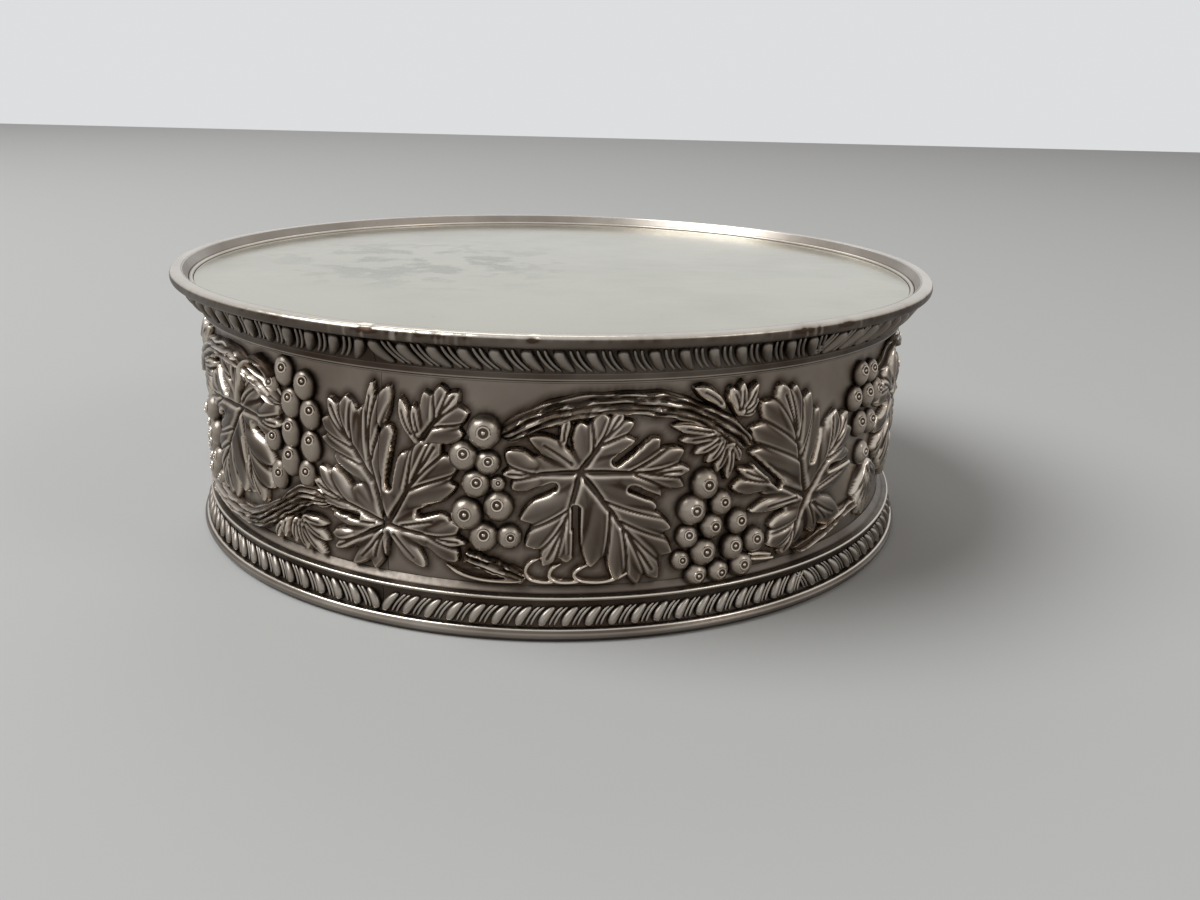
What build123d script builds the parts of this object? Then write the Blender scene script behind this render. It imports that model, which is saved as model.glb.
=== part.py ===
# Plated wine coaster with a vine relief, standing on its lip with the base plate uppermost.
# Millimetres, +Z up, origin at the middle of the circle that it stands on.
import os
from math import cos, radians, sin

from build123d import *

# Whole coaster: its height, and the radius of the wall that everything else is set out from
height = 55.0
wall_radius = 75.4
solder_gap = 0.05

# Skin of the stamped panels and the sleeve behind them
wall_thickness = 0.8
liner_thickness = 0.8

# Rim, from the outside in
rim_overhang = 2.0
rim_wire_height = 2.2
rim_wire_width = 2.3
rim_wire_round = 0.9
rim_wire_flats = 3
collar_width = 1.3
collar_lip = 0.2
collar_step = 0.4
bead_width = 0.9
bead_height = 0.5
bead_bevel = 0.25
plate_thickness = 1.2

# Upper border
rim_border_height = 5.2
rim_border_foot = 1.5
rim_border_flare = 3.6
rim_lobe_radius = 0.85
rim_lobe_margin = 0.15
rim_lobe_lean = 2.4
rim_lobes_per_section = 16

# Plain band under the upper border
fillet_height = 1.9
fillet_foot = 1.0
fillet_step = 0.6

# Lower border and the wires on both sides of it
lip_overhang = 1.8
lip_wire_height = 2.1
lip_bulge = 0.8
lip_foot_width = 1.6
lip_web_thickness = 1.2
lip_border_height = 4.9
lip_border_foot = 2.8
lip_border_waist = 2.1
lip_border_band = 3.4
lip_lobe_radius = 0.8
lip_lobe_margin = 0.1
lip_lobe_lean = 1.5
lip_lobes_per_section = 20
ridge_height = 0.6
ridge_width = 2.7
ridge_crown = 0.6
ridge_cove = 1.2

# Joints: azimuth of the front seam, lengths in each border and panels in the wall
seam_azimuth = -113.0
border_sections = 6
wall_panels = 2

# Relief
leaf_rise = 1.9
leaf_notch = 0.62
vine_rise = 2.3
grape_rise = 2.6
grape_sink = 0.3
vine_width = 2.8
relief_depth = 6.0

# Heights and radii that follow from the sizes above
rim_radius = wall_radius + rim_border_foot + rim_border_flare + rim_overhang
lip_radius = wall_radius + lip_border_foot + lip_overhang
rim_wire_bottom = height - rim_wire_height
plate_bottom = rim_wire_bottom - plate_thickness
rim_border_bottom = rim_wire_bottom - rim_border_height
fillet_bottom = rim_border_bottom - fillet_height
lip_border_top = lip_wire_height + lip_border_height
band_bottom = lip_border_top + ridge_height + ridge_cove
rim_wire_inner = rim_radius - rim_wire_width
collar_inner = rim_wire_inner - collar_width
bead_inner = collar_inner - bead_width
plate_radius = bead_inner - solder_gap
wall_inner = wall_radius - wall_thickness
liner_radius = wall_inner - solder_gap
liner_inner = liner_radius - liner_thickness
border_inner = wall_radius + solder_gap
section_angle = 360 / border_sections
panel_angle = 360 / wall_panels


def write(piece, name):
    piece.label = name
    export_step(piece, f"parts/{name}.step")


def wall_plane(turn, level):
    """Plane that touches the wall at an angle from the seam, with its Y axis up."""
    azimuth = radians(seam_azimuth + turn)
    outward = Vector(cos(azimuth), sin(azimuth), 0)
    along = Vector(-sin(azimuth), cos(azimuth), 0)
    return Plane(origin=outward * wall_radius + Vector(0, 0, level), x_dir=along, z_dir=outward)


def seam_plane():
    """Upright half plane through the axis and the front seam, where each sector starts."""
    azimuth = radians(seam_azimuth)
    return Plane(
        origin=(0, 0, 0),
        x_dir=(cos(azimuth), sin(azimuth), 0),
        z_dir=(sin(azimuth), -cos(azimuth), 0),
    )


def lobe_plane(turn, lean, low, high):
    """Plane whose Z axis runs along one slanted lobe, from its low (radius, level) to its high one."""
    ends = []
    for (radius, level), shift in ((low, -lean / 2), (high, lean / 2)):
        azimuth = radians(seam_azimuth + turn + shift)
        ends.append(Vector(radius * cos(azimuth), radius * sin(azimuth), level))
    return Plane(origin=(ends[0] + ends[1]) / 2, z_dir=ends[1] - ends[0])


os.makedirs("parts", exist_ok=True)

# Base plate: a plain disc let into the upper border
with BuildPart() as base_plate:
    with BuildSketch(Plane.XY.offset(plate_bottom)):
        Circle(plate_radius)
    extrude(amount=plate_thickness)
write(base_plate.part, "base_plate")

# Bead round the plate, with bevelled sides
with BuildPart() as plate_bead:
    with BuildSketch(Plane.XZ):
        bead_outer = collar_inner - solder_gap
        with BuildLine():
            Polyline(
                (bead_inner, rim_wire_bottom),
                (bead_outer, rim_wire_bottom),
                (bead_outer - bead_width * bead_bevel, rim_wire_bottom + bead_height),
                (bead_inner + bead_width * bead_bevel, rim_wire_bottom + bead_height),
                close=True,
            )
        make_face()
    revolve(axis=Axis.Z)
write(plate_bead.part, "plate_bead")

# Collar that slopes down from the rim's land to the bead
with BuildPart() as rim_collar:
    with BuildSketch(Plane.XZ):
        with BuildLine():
            Polyline(
                (collar_inner, rim_wire_bottom),
                (rim_wire_inner - solder_gap, rim_wire_bottom),
                (rim_wire_inner - solder_gap, height),
                (rim_wire_inner - collar_lip, height),
                (collar_inner, rim_wire_bottom + collar_step),
                close=True,
            )
        make_face()
    revolve(axis=Axis.Z)
write(rim_collar.part, "rim_collar")

# Wire at the rim's edge, with its flat land on top and its outer corners rounded off in flats
with BuildPart() as rim_edge_wire:
    corner_round = min(rim_wire_round, rim_wire_height * 0.45)
    corner_turns = [radians(90 * i / rim_wire_flats) for i in range(rim_wire_flats + 1)]
    corner_radius = rim_radius - corner_round
    lower_corner = [
        (corner_radius + corner_round * sin(turn), rim_wire_bottom + corner_round * (1 - cos(turn)))
        for turn in corner_turns
    ]
    upper_corner = [
        (corner_radius + corner_round * cos(turn), height - corner_round * (1 - sin(turn)))
        for turn in corner_turns
    ]
    with BuildSketch(Plane.XZ):
        with BuildLine():
            Polyline(
                (rim_wire_inner, rim_wire_bottom),
                *lower_corner,
                *upper_corner,
                (rim_wire_inner, height),
                close=True,
            )
        make_face()
    revolve(axis=Axis.Z)
write(rim_edge_wire.part, "rim_edge_wire")

# Levels between which the upper border's lobes run, on its flare
rim_lobe_low = rim_border_bottom + rim_lobe_radius + rim_lobe_margin
rim_lobe_high = rim_wire_bottom - rim_lobe_radius - rim_lobe_margin
flare_slope = rim_border_flare / rim_border_height


def flare_point(level):
    return (wall_radius + rim_border_foot + flare_slope * (level - rim_border_bottom), level)


def capsule(radius, low, high):
    """Rod with rounded ends, long enough to reach between two (radius, level) points."""
    reach = (Vector(*high) - Vector(*low)).length
    with BuildPart() as rod:
        Cylinder(radius, reach + 2 * radius)
        fillet(rod.edges().filter_by(GeomType.CIRCLE), radius * 0.9)
    return rod.part


# Upper border: a flared length with slanted lobes, rebated for the plate, in two hands
def rim_border(lean):
    pitch = section_angle / rim_lobes_per_section
    low = flare_point(rim_lobe_low)
    high = flare_point(rim_lobe_high)
    lobe = capsule(rim_lobe_radius, low, high)
    places = [lobe_plane((i + 0.5) * pitch, lean, low, high) for i in range(rim_lobes_per_section)]
    with BuildPart() as border:
        with BuildSketch(seam_plane()):
            with BuildLine():
                Polyline(
                    (border_inner, rim_border_bottom),
                    flare_point(rim_border_bottom),
                    flare_point(rim_wire_bottom),
                    (bead_inner, rim_wire_bottom),
                    (bead_inner, plate_bottom),
                    (border_inner, plate_bottom),
                    close=True,
                )
            make_face()
        revolve(axis=Axis.Z, revolution_arc=section_angle)
        with Locations(*places):
            add(lobe)
        with BuildSketch(seam_plane()):
            with BuildLine():
                Polyline(
                    (border_inner, rim_border_bottom),
                    (rim_radius, rim_border_bottom),
                    (rim_radius, rim_wire_bottom),
                    (border_inner, rim_wire_bottom),
                    close=True,
                )
            make_face()
        revolve(axis=Axis.Z, revolution_arc=section_angle, mode=Mode.INTERSECT)
    return border.part


# Lower border: an upright length with slanted lobes and a plain cove above them
def lip_border(lean):
    pitch = section_angle / lip_lobes_per_section
    foot = wall_radius + lip_border_foot
    waist = wall_radius + lip_border_waist
    band_top = lip_wire_height + lip_border_band
    slope = (waist - foot) / lip_border_band
    low_level = lip_wire_height + lip_lobe_radius + lip_lobe_margin
    high_level = band_top - lip_lobe_radius - lip_lobe_margin
    low = (foot + slope * (low_level - lip_wire_height), low_level)
    high = (foot + slope * (high_level - lip_wire_height), high_level)
    lobe = capsule(lip_lobe_radius, low, high)
    places = [lobe_plane((i + 0.5) * pitch, lean, low, high) for i in range(lip_lobes_per_section)]
    with BuildPart() as border:
        with BuildSketch(seam_plane()):
            with BuildLine():
                Polyline(
                    (border_inner, lip_wire_height),
                    (foot, lip_wire_height),
                    (waist, band_top),
                    (border_inner + ridge_width - ridge_crown / 2, lip_border_top),
                    (border_inner, lip_border_top),
                    close=True,
                )
            make_face()
        revolve(axis=Axis.Z, revolution_arc=section_angle)
        with Locations(*places):
            add(lobe)
        with BuildSketch(seam_plane()):
            with BuildLine():
                Polyline(
                    (border_inner, lip_wire_height),
                    (lip_radius, lip_wire_height),
                    (lip_radius, lip_border_top),
                    (border_inner, lip_border_top),
                    close=True,
                )
            make_face()
        revolve(axis=Axis.Z, revolution_arc=section_angle, mode=Mode.INTERSECT)
    return border.part


# The slant turns about from each length to the next, and runs the other way in the lower border
rim_hands = (rim_border(-rim_lobe_lean), rim_border(rim_lobe_lean))
lip_hands = (lip_border(lip_lobe_lean), lip_border(-lip_lobe_lean))
for i in range(border_sections):
    write(rim_hands[i % 2].rotate(Axis.Z, i * section_angle), f"rim_gadroon_{i + 1}")
    write(lip_hands[i % 2].rotate(Axis.Z, i * section_angle), f"lip_gadroon_{i + 1}")

# Plain stepped band under the upper border
with BuildPart() as fillet_ring:
    with BuildSketch(Plane.XZ):
        with BuildLine():
            Polyline(
                (border_inner, fillet_bottom),
                (wall_radius + fillet_foot, fillet_bottom),
                (wall_radius + fillet_foot, fillet_bottom + fillet_step),
                (wall_radius + rim_border_foot, fillet_bottom + fillet_step),
                (wall_radius + rim_border_foot, rim_border_bottom),
                (border_inner, rim_border_bottom),
                close=True,
            )
        make_face()
    revolve(axis=Axis.Z)
write(fillet_ring.part, "fillet_ring")

# Thin wire above the lower border, with a cove up to the wall
with BuildPart() as ridge_wire:
    ridge_radius = border_inner + ridge_width
    ridge_top = lip_border_top + ridge_height
    with BuildSketch(Plane.XZ):
        with BuildLine():
            base = Polyline(
                (border_inner, band_bottom),
                (border_inner, lip_border_top),
                (ridge_radius - ridge_crown / 2, lip_border_top),
            )
            crown = (ridge_radius, lip_border_top + ridge_height / 2)
            nose = ThreePointArc(base @ 1, crown, (ridge_radius - ridge_crown / 2, ridge_top))
            Line(nose @ 1, base @ 0)
        make_face()
    revolve(axis=Axis.Z)
write(ridge_wire.part, "ridge_wire")

# Edge wire that the coaster stands on, with a web that caps the wall and the sleeve
with BuildPart() as lip_wire:
    with BuildSketch(Plane.XZ):
        with BuildLine():
            foot_outer = lip_radius - lip_bulge
            under = Polyline(
                (foot_outer, lip_wire_height),
                (liner_inner, lip_wire_height),
                (liner_inner, lip_wire_height - lip_web_thickness),
                (foot_outer - lip_foot_width, lip_wire_height - lip_web_thickness),
                (foot_outer - lip_foot_width, 0),
                (foot_outer, 0),
            )
            ThreePointArc(under @ 1, (lip_radius, lip_wire_height / 2), under @ 0)
        make_face()
    revolve(axis=Axis.Z)
write(lip_wire.part, "lip_wire")

# Plain sleeve behind the panels
with BuildPart() as liner_sleeve:
    with BuildSketch(Plane.XY.offset(lip_wire_height)):
        Circle(liner_radius)
        Circle(liner_inner, mode=Mode.SUBTRACT)
    extrude(amount=plate_bottom - lip_wire_height)
write(liner_sleeve.part, "liner_sleeve")

# Leaves: each tip is (direction in degrees, reach from the stalk), in turn, seen from outside
upright_leaf = (
    (-96, 9),
    (-50, 11),
    (-6, 15),
    (32, 18),
    (58, 20),
    (95, 25),
    (122, 20),
    (148, 18),
    (186, 15),
    (230, 11),
)
spreading_leaf = (
    (-54, 26),
    (-30, 22),
    (-4, 21),
    (40, 16),
    (96, 11),
    (150, 12),
    (196, 13),
    (250, 19),
    (278, 17),
)
hanging_leaf = (
    (-112, 18),
    (-80, 19),
    (-48, 17),
    (-14, 12),
    (40, 9),
    (145, 9),
    (205, 13),
)
small_leaf = (
    (-96, 8),
    (-50, 10),
    (-8, 8),
    (120, 3),
)
bud_leaf = (
    (48, 9),
    (92, 9),
    (136, 8),
    (270, 3),
)

# Each leaf's kind, angle from the seam and height above the lower edge of the band
leaves = (
    (upright_leaf, 0, 10.0),
    (bud_leaf, 8, 27.0),
    (spreading_leaf, 26, 21.5),
    (small_leaf, 41, 27.5),
    (bud_leaf, 49, 26.5),
    (upright_leaf, 61, 10.5),
    (hanging_leaf, 92, 24.0),
    (spreading_leaf, 118, 21.0),
    (hanging_leaf, 152, 24.0),
    (small_leaf, 164, 9.0),
    (upright_leaf, 180, 10.0),
)

# Vines: start, middle and end, each as an angle from the seam and a height in the band
vines = (
    ((18, 29.5), (31, 34.0), (48, 25.0)),
    ((138, 33.5), (145, 30.0), (150, 25.0)),
    ((142, 2.5), (155, 4.0), (172, 11.0)),
    ((84, 26.0), (86, 31.5), (90, 34.5)),
    ((104, 29.0), (117, 33.0), (128, 26.0)),
)

# Grapes: angle from the seam, height in the band and diameter
grapes = (
    (14.4, 28.7, 5.4),
    (11.4, 24.0, 4.7),
    (15.2, 23.1, 4.7),
    (13.0, 18.9, 4.7),
    (16.6, 18.6, 4.2),
    (11.6, 13.7, 5.0),
    (16.2, 14.4, 5.0),
    (14.0, 9.6, 4.7),
    (18.0, 9.8, 4.5),
    (43.2, 18.2, 4.8),
    (41.4, 13.8, 4.8),
    (45.9, 14.3, 4.6),
    (44.5, 10.0, 4.6),
    (48.3, 10.6, 4.6),
    (40.4, 8.8, 4.5),
    (43.3, 5.1, 4.6),
    (47.8, 5.8, 4.6),
    (51.4, 6.4, 4.5),
    (39.6, 3.6, 4.2),
    (75.5, 33.2, 4.8),
    (79.5, 29.8, 4.8),
    (75.0, 27.9, 4.8),
    (78.9, 24.6, 4.8),
    (74.8, 22.6, 4.8),
    (78.6, 19.3, 4.6),
    (75.0, 17.2, 4.6),
    (133.6, 20.0, 4.8),
    (137.5, 17.2, 4.8),
    (133.2, 14.6, 4.8),
    (137.0, 11.8, 4.8),
    (132.8, 9.4, 4.6),
    (136.4, 6.6, 4.6),
    (164.0, 33.0, 4.8),
    (168.0, 31.6, 4.8),
    (165.2, 28.0, 4.8),
    (169.0, 26.4, 4.8),
    (165.0, 22.6, 4.8),
    (161.0, 20.4, 4.6),
    (168.8, 20.8, 4.8),
    (164.4, 17.2, 4.8),
    (162.2, 12.8, 4.6),
)


def relief_ring(rise, angle):
    """Full-height length of the band, from inside the panel's skin out to a rise above it."""
    low = wall_radius - wall_thickness / 2
    middle = (low + wall_radius + rise) / 2
    with BuildPart() as ring:
        with BuildSketch(seam_plane()):
            with Locations((middle, (band_bottom + fillet_bottom) / 2)):
                Rectangle(wall_radius + rise - low, fillet_bottom - band_bottom)
        revolve(axis=Axis.Z, revolution_arc=angle)
    return ring.part


leaf_ring = relief_ring(leaf_rise, panel_angle)
vine_ring = relief_ring(vine_rise, panel_angle)
grape_ring = relief_ring(grape_rise, panel_angle)

def leaf_outline(tips):
    """Points of a leaf: each tip, then the notch half way round to the next one."""
    points = []
    for i, (direction, reach) in enumerate(tips):
        following, next_reach = tips[(i + 1) % len(tips)]
        gap = (following - direction) % 360
        for heading, distance in (
            (direction, reach),
            (direction + gap / 2, leaf_notch * (reach + next_reach) / 2),
        ):
            points.append((cos(radians(heading)) * distance, sin(radians(heading)) * distance))
    return points


# Leaves, cut out of the band as slabs with pointed lobes
with BuildPart() as leaf_relief:
    for tips, turn, level in leaves:
        with BuildSketch(wall_plane(turn, band_bottom + level)):
            with BuildLine():
                Polyline(*leaf_outline(tips), close=True)
            make_face()
        extrude(amount=relief_depth, both=True)
    add(leaf_ring, mode=Mode.INTERSECT)

# Vines, cut out of the band as curved strips that stand a little higher
with BuildPart() as vine_relief:
    for start, middle, end in vines:
        centre = wall_plane(middle[0], band_bottom + middle[1])
        ends = []
        for turn, level in (start, end):
            point = centre.to_local_coords(wall_plane(turn, band_bottom + level).origin)
            ends.append((point.X, point.Y))
        with BuildSketch(centre):
            with BuildLine(mode=Mode.PRIVATE) as course:
                ThreePointArc(ends[0], (0, 0), ends[1])
            SlotArc(course.wire(), vine_width)
        extrude(amount=relief_depth, both=True)
    add(vine_ring, mode=Mode.INTERSECT)

# Grapes, as balls sunk in the wall
with BuildPart() as grape_relief:
    for turn, level, diameter in grapes:
        lift = grape_rise - diameter / 2 - grape_sink
        place = wall_plane(turn, band_bottom + level).offset(lift)
        with Locations(place):
            Sphere(diameter / 2)
    add(grape_ring, mode=Mode.INTERSECT)

# One panel: a plain half-round skin with the relief on it, from the lip wire up to the plate
with BuildPart() as wall_panel:
    with BuildSketch(seam_plane()):
        with Locations(((wall_inner + wall_radius) / 2, (lip_wire_height + plate_bottom) / 2)):
            Rectangle(wall_thickness, plate_bottom - lip_wire_height)
    revolve(axis=Axis.Z, revolution_arc=panel_angle)
    add([leaf_relief.part, vine_relief.part, grape_relief.part])

for i in range(wall_panels):
    write(wall_panel.part.rotate(Axis.Z, i * panel_angle), f"wall_panel_{i + 1}")
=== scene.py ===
import math

import bpy
import numpy as np
from mathutils import Matrix, Vector, kdtree


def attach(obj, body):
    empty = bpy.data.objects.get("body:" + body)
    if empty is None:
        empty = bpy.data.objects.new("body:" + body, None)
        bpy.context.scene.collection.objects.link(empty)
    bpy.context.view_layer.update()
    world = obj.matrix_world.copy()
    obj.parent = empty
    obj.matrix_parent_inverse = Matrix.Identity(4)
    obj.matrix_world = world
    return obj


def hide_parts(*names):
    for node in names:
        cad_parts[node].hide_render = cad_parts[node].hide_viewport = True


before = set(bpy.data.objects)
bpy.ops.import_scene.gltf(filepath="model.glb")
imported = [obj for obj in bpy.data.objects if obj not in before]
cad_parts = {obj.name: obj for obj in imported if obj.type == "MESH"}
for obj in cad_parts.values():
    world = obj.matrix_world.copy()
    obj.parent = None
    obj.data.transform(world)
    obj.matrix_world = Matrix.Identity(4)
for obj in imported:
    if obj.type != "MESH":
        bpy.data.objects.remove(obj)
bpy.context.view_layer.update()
scene = bpy.context.scene
print("frame loaded:", len(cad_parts), "nodes")

# Sizes in millimetres, shared by several pieces. The seam is the front joint of the borders and panels.
coaster = {
    "wallRadius": 75.4,
    "wallFoot": 2.1,
    "wallTop": 51.6,
    "bandFoot": 8.8,
    "bandTop": 45.7,
    "seamAzimuth": -113.0,
    "sections": 6,
    "panels": 2,
    "seamInset": 0.06,
    "bandInset": 0.05,
}
millimetre = 0.001
panelLength = math.radians(360 / coaster["panels"]) * coaster["wallRadius"]
bandHeight = coaster["bandTop"] - coaster["bandFoot"]
chance = np.random.default_rng(7)


# Node helpers for the world, the materials and the Geometry Nodes. An input takes a value or an output.
def feed(tree, node, inputs):
    for name, value in inputs.items():
        if isinstance(value, bpy.types.NodeSocket):
            tree.links.new(value, node.inputs[name])
        else:
            node.inputs[name].default_value = value


def addNode(tree, kind, inputs=None, **settings):
    node = tree.nodes.new(kind)
    for name, value in settings.items():
        setattr(node, name, value)
    feed(tree, node, inputs or {})
    return node


def addMath(tree, operation, *values, clamp=False):
    inputs = dict(enumerate(values))
    return addNode(tree, "ShaderNodeMath", inputs, operation=operation, use_clamp=clamp).outputs["Value"]


def addRange(tree, value, low, high, newLow=0.0, newHigh=1.0):
    inputs = {"Value": value, "From Min": low, "From Max": high, "To Min": newLow, "To Max": newHigh}
    return addNode(tree, "ShaderNodeMapRange", inputs).outputs["Result"]


def newMaterial(name):
    material = bpy.data.materials.new(name)
    material.use_nodes = True
    return material, material.node_tree, material.node_tree.nodes["Principled BSDF"]


# Camera, floor and light
viewpoint = {
    "position": (0.0, -0.2537, 0.0934),
    "focalPixels": 1113.0,
    "imageWidth": 1200.0,
    "sensorWidth": 36.0,
    "nearest": 0.01,
    "yaw": 0.0433,
    "pitch": 0.3211,
    "roll": 0.0263,
}


def addCamera(settings):
    yaw, pitch, roll = settings["yaw"], settings["pitch"], settings["roll"]
    ahead = Vector((math.sin(yaw) * math.cos(pitch), math.cos(yaw) * math.cos(pitch), -math.sin(pitch)))
    right = Vector((math.cos(yaw), -math.sin(yaw), 0.0))
    up = right.cross(ahead)
    rolledRight = right * math.cos(roll) + up * math.sin(roll)
    rolledUp = up * math.cos(roll) - right * math.sin(roll)
    data = bpy.data.cameras.new("camera")
    data.sensor_width = settings["sensorWidth"]
    data.lens = settings["sensorWidth"] * settings["focalPixels"] / settings["imageWidth"]
    data.clip_start = settings["nearest"]
    camera = bpy.data.objects.new("camera", data)
    turn = Matrix((rolledRight, rolledUp, -ahead)).transposed().to_4x4()
    camera.matrix_world = Matrix.Translation(settings["position"]) @ turn
    scene.collection.objects.link(camera)
    scene.camera = camera


studio = {
    "floor": {"Base Color": (0.68, 0.665, 0.64, 1.0), "Roughness": 0.9, "Specular IOR Level": 0.1},
    "floorSize": 3.4,
    "floorDrop": 0.0002,
    "surround": {"Color": (0.93, 0.94, 0.95, 1.0), "Strength": 0.22},
    "backdrop": {"Color": (0.93, 0.94, 0.95, 1.0), "Strength": 0.78},
    "lampAim": (0.0, 0.0, 0.03),
    "lamps": {
        "windowLamp": {"at": (-1.1, -0.2, 1.5), "size": 1.3, "power": 23.0, "tint": (0.93, 0.97, 1.0)},
        "backLamp": {"at": (-0.3, 1.9, 1.7), "size": 1.2, "power": 5.0, "tint": (1.0, 1.0, 1.0)},
        "sideLamp": {"at": (1.7, -1.0, 1.5), "size": 0.8, "power": 4.0, "tint": (1.0, 0.96, 0.9)},
    },
}


def addFloor(settings):
    half = settings["floorSize"] / 2
    corners = [(-half, -half, 0), (half, -half, 0), (half, half, 0), (-half, half, 0)]
    mesh = bpy.data.meshes.new("floor")
    mesh.from_pydata(corners, [], [(0, 1, 2, 3)])
    floor = bpy.data.objects.new("floor", mesh)
    floor.location.z = -settings["floorDrop"]
    scene.collection.objects.link(floor)
    material, tree, shader = newMaterial("floorMaterial")
    feed(tree, shader, settings["floor"])
    mesh.materials.append(material)


def addLight(settings):
    for name, lamp in settings["lamps"].items():
        data = bpy.data.lights.new(name, "AREA")
        data.shape = "DISK"
        data.size = lamp["size"]
        data.energy = lamp["power"]
        data.color = lamp["tint"]
        item = bpy.data.objects.new(name, data)
        item.location = lamp["at"]
        aim = Vector(settings["lampAim"]) - Vector(lamp["at"])
        item.rotation_euler = aim.to_track_quat("-Z", "Y").to_euler()
        scene.collection.objects.link(item)
    world = bpy.data.worlds.new("studioWorld")
    world.use_nodes = True
    scene.world = world
    tree = world.node_tree
    surround = tree.nodes["Background"]
    feed(tree, surround, settings["surround"])
    backdrop = addNode(tree, "ShaderNodeBackground", settings["backdrop"])
    ray = addNode(tree, "ShaderNodeLightPath").outputs
    shown = addMath(tree, "MAXIMUM", ray["Is Camera Ray"], ray["Is Glossy Ray"])
    skies = {"Fac": shown, 1: surround.outputs["Background"], 2: backdrop.outputs["Background"]}
    chooser = addNode(tree, "ShaderNodeMixShader", skies)
    feed(tree, tree.nodes["World Output"], {"Surface": chooser.outputs["Shader"]})


addCamera(viewpoint)
addFloor(studio)
addLight(studio)
scene.view_settings.view_transform = "Standard"
print("camera, floor and light made")


# Materials: worn silver plate, dark where its darkening attribute is high; that attribute holds real
# tarnish together with painted shade and a painted dark reflection
def addNoise(tree, coordinates, scale, detail):
    inputs = {"Vector": coordinates, "Scale": scale, "Detail": detail}
    return addNode(tree, "ShaderNodeTexNoise", inputs).outputs["Fac"]


def addBlend(tree, factor, first, second):
    node = addNode(tree, "ShaderNodeMix", {"Factor": factor}, data_type="RGBA")
    colours = [i for i, socket in enumerate(node.inputs) if socket.type == "RGBA"]
    feed(tree, node, dict(zip(colours, (first, second))))
    return [socket for socket in node.outputs if socket.type == "RGBA"][0]


def finishMetal(tree, shader, colour, rough, wear, height, look):
    depth = look["bumpDepth"] * millimetre
    bump = {"Strength": look["bumpStrength"], "Distance": depth, "Height": height}
    finish = {
        "Metallic": 1.0,
        "Base Color": colour,
        "Roughness": addMath(tree, "ADD", rough, wear, clamp=True),
        "Normal": addNode(tree, "ShaderNodeBump", bump).outputs["Normal"],
    }
    feed(tree, shader, finish)


def silverMaterial(name, look):
    material, tree, shader = newMaterial(name)
    place = addNode(tree, "ShaderNodeTexCoord").outputs["Object"]
    tarnishAndPaintedShade = addNode(tree, "ShaderNodeAttribute", attribute_name="tarnishAndPaintedShade").outputs["Fac"]
    cloud = addNoise(tree, place, look["cloudScale"], look["cloudDetail"])
    grain = addNoise(tree, place, look["grainScale"], look["grainDetail"])
    uneven = addMath(tree, "MULTIPLY_ADD", cloud, look["cloudAmount"], -0.5 * look["cloudAmount"])
    darkening = addMath(tree, "ADD", tarnishAndPaintedShade, uneven, clamp=True)
    soft = addMath(tree, "POWER", darkening, look["tarnishPower"])
    tinted = addBlend(tree, cloud, look["clean"], look["shaded"])
    colour = addBlend(tree, soft, tinted, look["dark"])
    rough = addRange(tree, soft, 0.0, 1.0, look["roughness"], look["darkRoughness"])
    wear = addRange(tree, grain, *look["grainSpan"], -look["roughVariation"], look["roughVariation"])
    finishMetal(tree, shader, colour, rough, wear, grain, look)
    return material


reliefLook = {
    "clean": (0.72, 0.65, 0.57, 1.0),
    "shaded": (0.52, 0.43, 0.34, 1.0),
    "dark": (0.05, 0.032, 0.022, 1.0),
    "cloudScale": 55.0,
    "cloudDetail": 4.0,
    "cloudAmount": 0.35,
    "grainScale": 700.0,
    "grainDetail": 3.0,
    "grainSpan": (0.3, 0.7),
    "tarnishPower": 1.1,
    "roughness": 0.15,
    "darkRoughness": 0.45,
    "roughVariation": 0.05,
    "bumpStrength": 0.25,
    "bumpDepth": 0.05,
}
polishedLook = dict(
    reliefLook,
    clean=(0.78, 0.72, 0.64, 1.0),
    shaded=(0.60, 0.53, 0.45, 1.0),
    roughness=0.16,
    grainScale=1100.0,
    bumpDepth=0.03,
)
grapeLook = dict(reliefLook, grainScale=480.0, bumpStrength=0.5, bumpDepth=0.14)
linerLook = dict(
    reliefLook,
    clean=(0.66, 0.62, 0.56, 1.0),
    shaded=(0.42, 0.37, 0.31, 1.0),
    roughness=0.36,
    cloudAmount=0.7,
)
reliefSilver = silverMaterial("reliefSilver", reliefLook)
polishedSilver = silverMaterial("polishedSilver", polishedLook)
linerSilver = silverMaterial("linerSilver", linerLook)
grapeSilver = silverMaterial("grapeSilver", grapeLook)

# Each noise of the plate has a scale and a detail; a span is a range of noise, then what it becomes
plateLook = {
    "clean": (0.61, 0.592, 0.49, 1.0),
    "dull": (0.4, 0.396, 0.35, 1.0),
    "pit": (0.10, 0.085, 0.07, 1.0),
    "cloud": (45.0, 5.0),
    "mottle": (120.0, 9.0),
    "grain": (1600.0, 2.0),
    "scratch": (1.0, 2.0),
    "scratchTurn": (0.0, 0.0, 0.6),
    "scratchStretch": (60.0, 2600.0, 1.0),
    "scratchSpan": (0.35, 0.65, -0.05, 0.05),
    "stainSpan": (0.4, 0.75, 0.0, 0.35),
    "patchCentre": (-0.03, 0.002, 0.0528),
    "patchReach": 0.042,
    "patchCore": 0.4,
    "patchDepth": 0.0006,
    "patchSpan": (0.46, 0.58),
    "pitScale": 85.0,
    "pitEdge": (0.035, 0.02),
    "pitRarity": (0.58, 0.6),
    "roughness": 0.15,
    "dullRoughness": 0.3,
    "bumpStrength": 0.06,
    "bumpDepth": 0.02,
}


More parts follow.
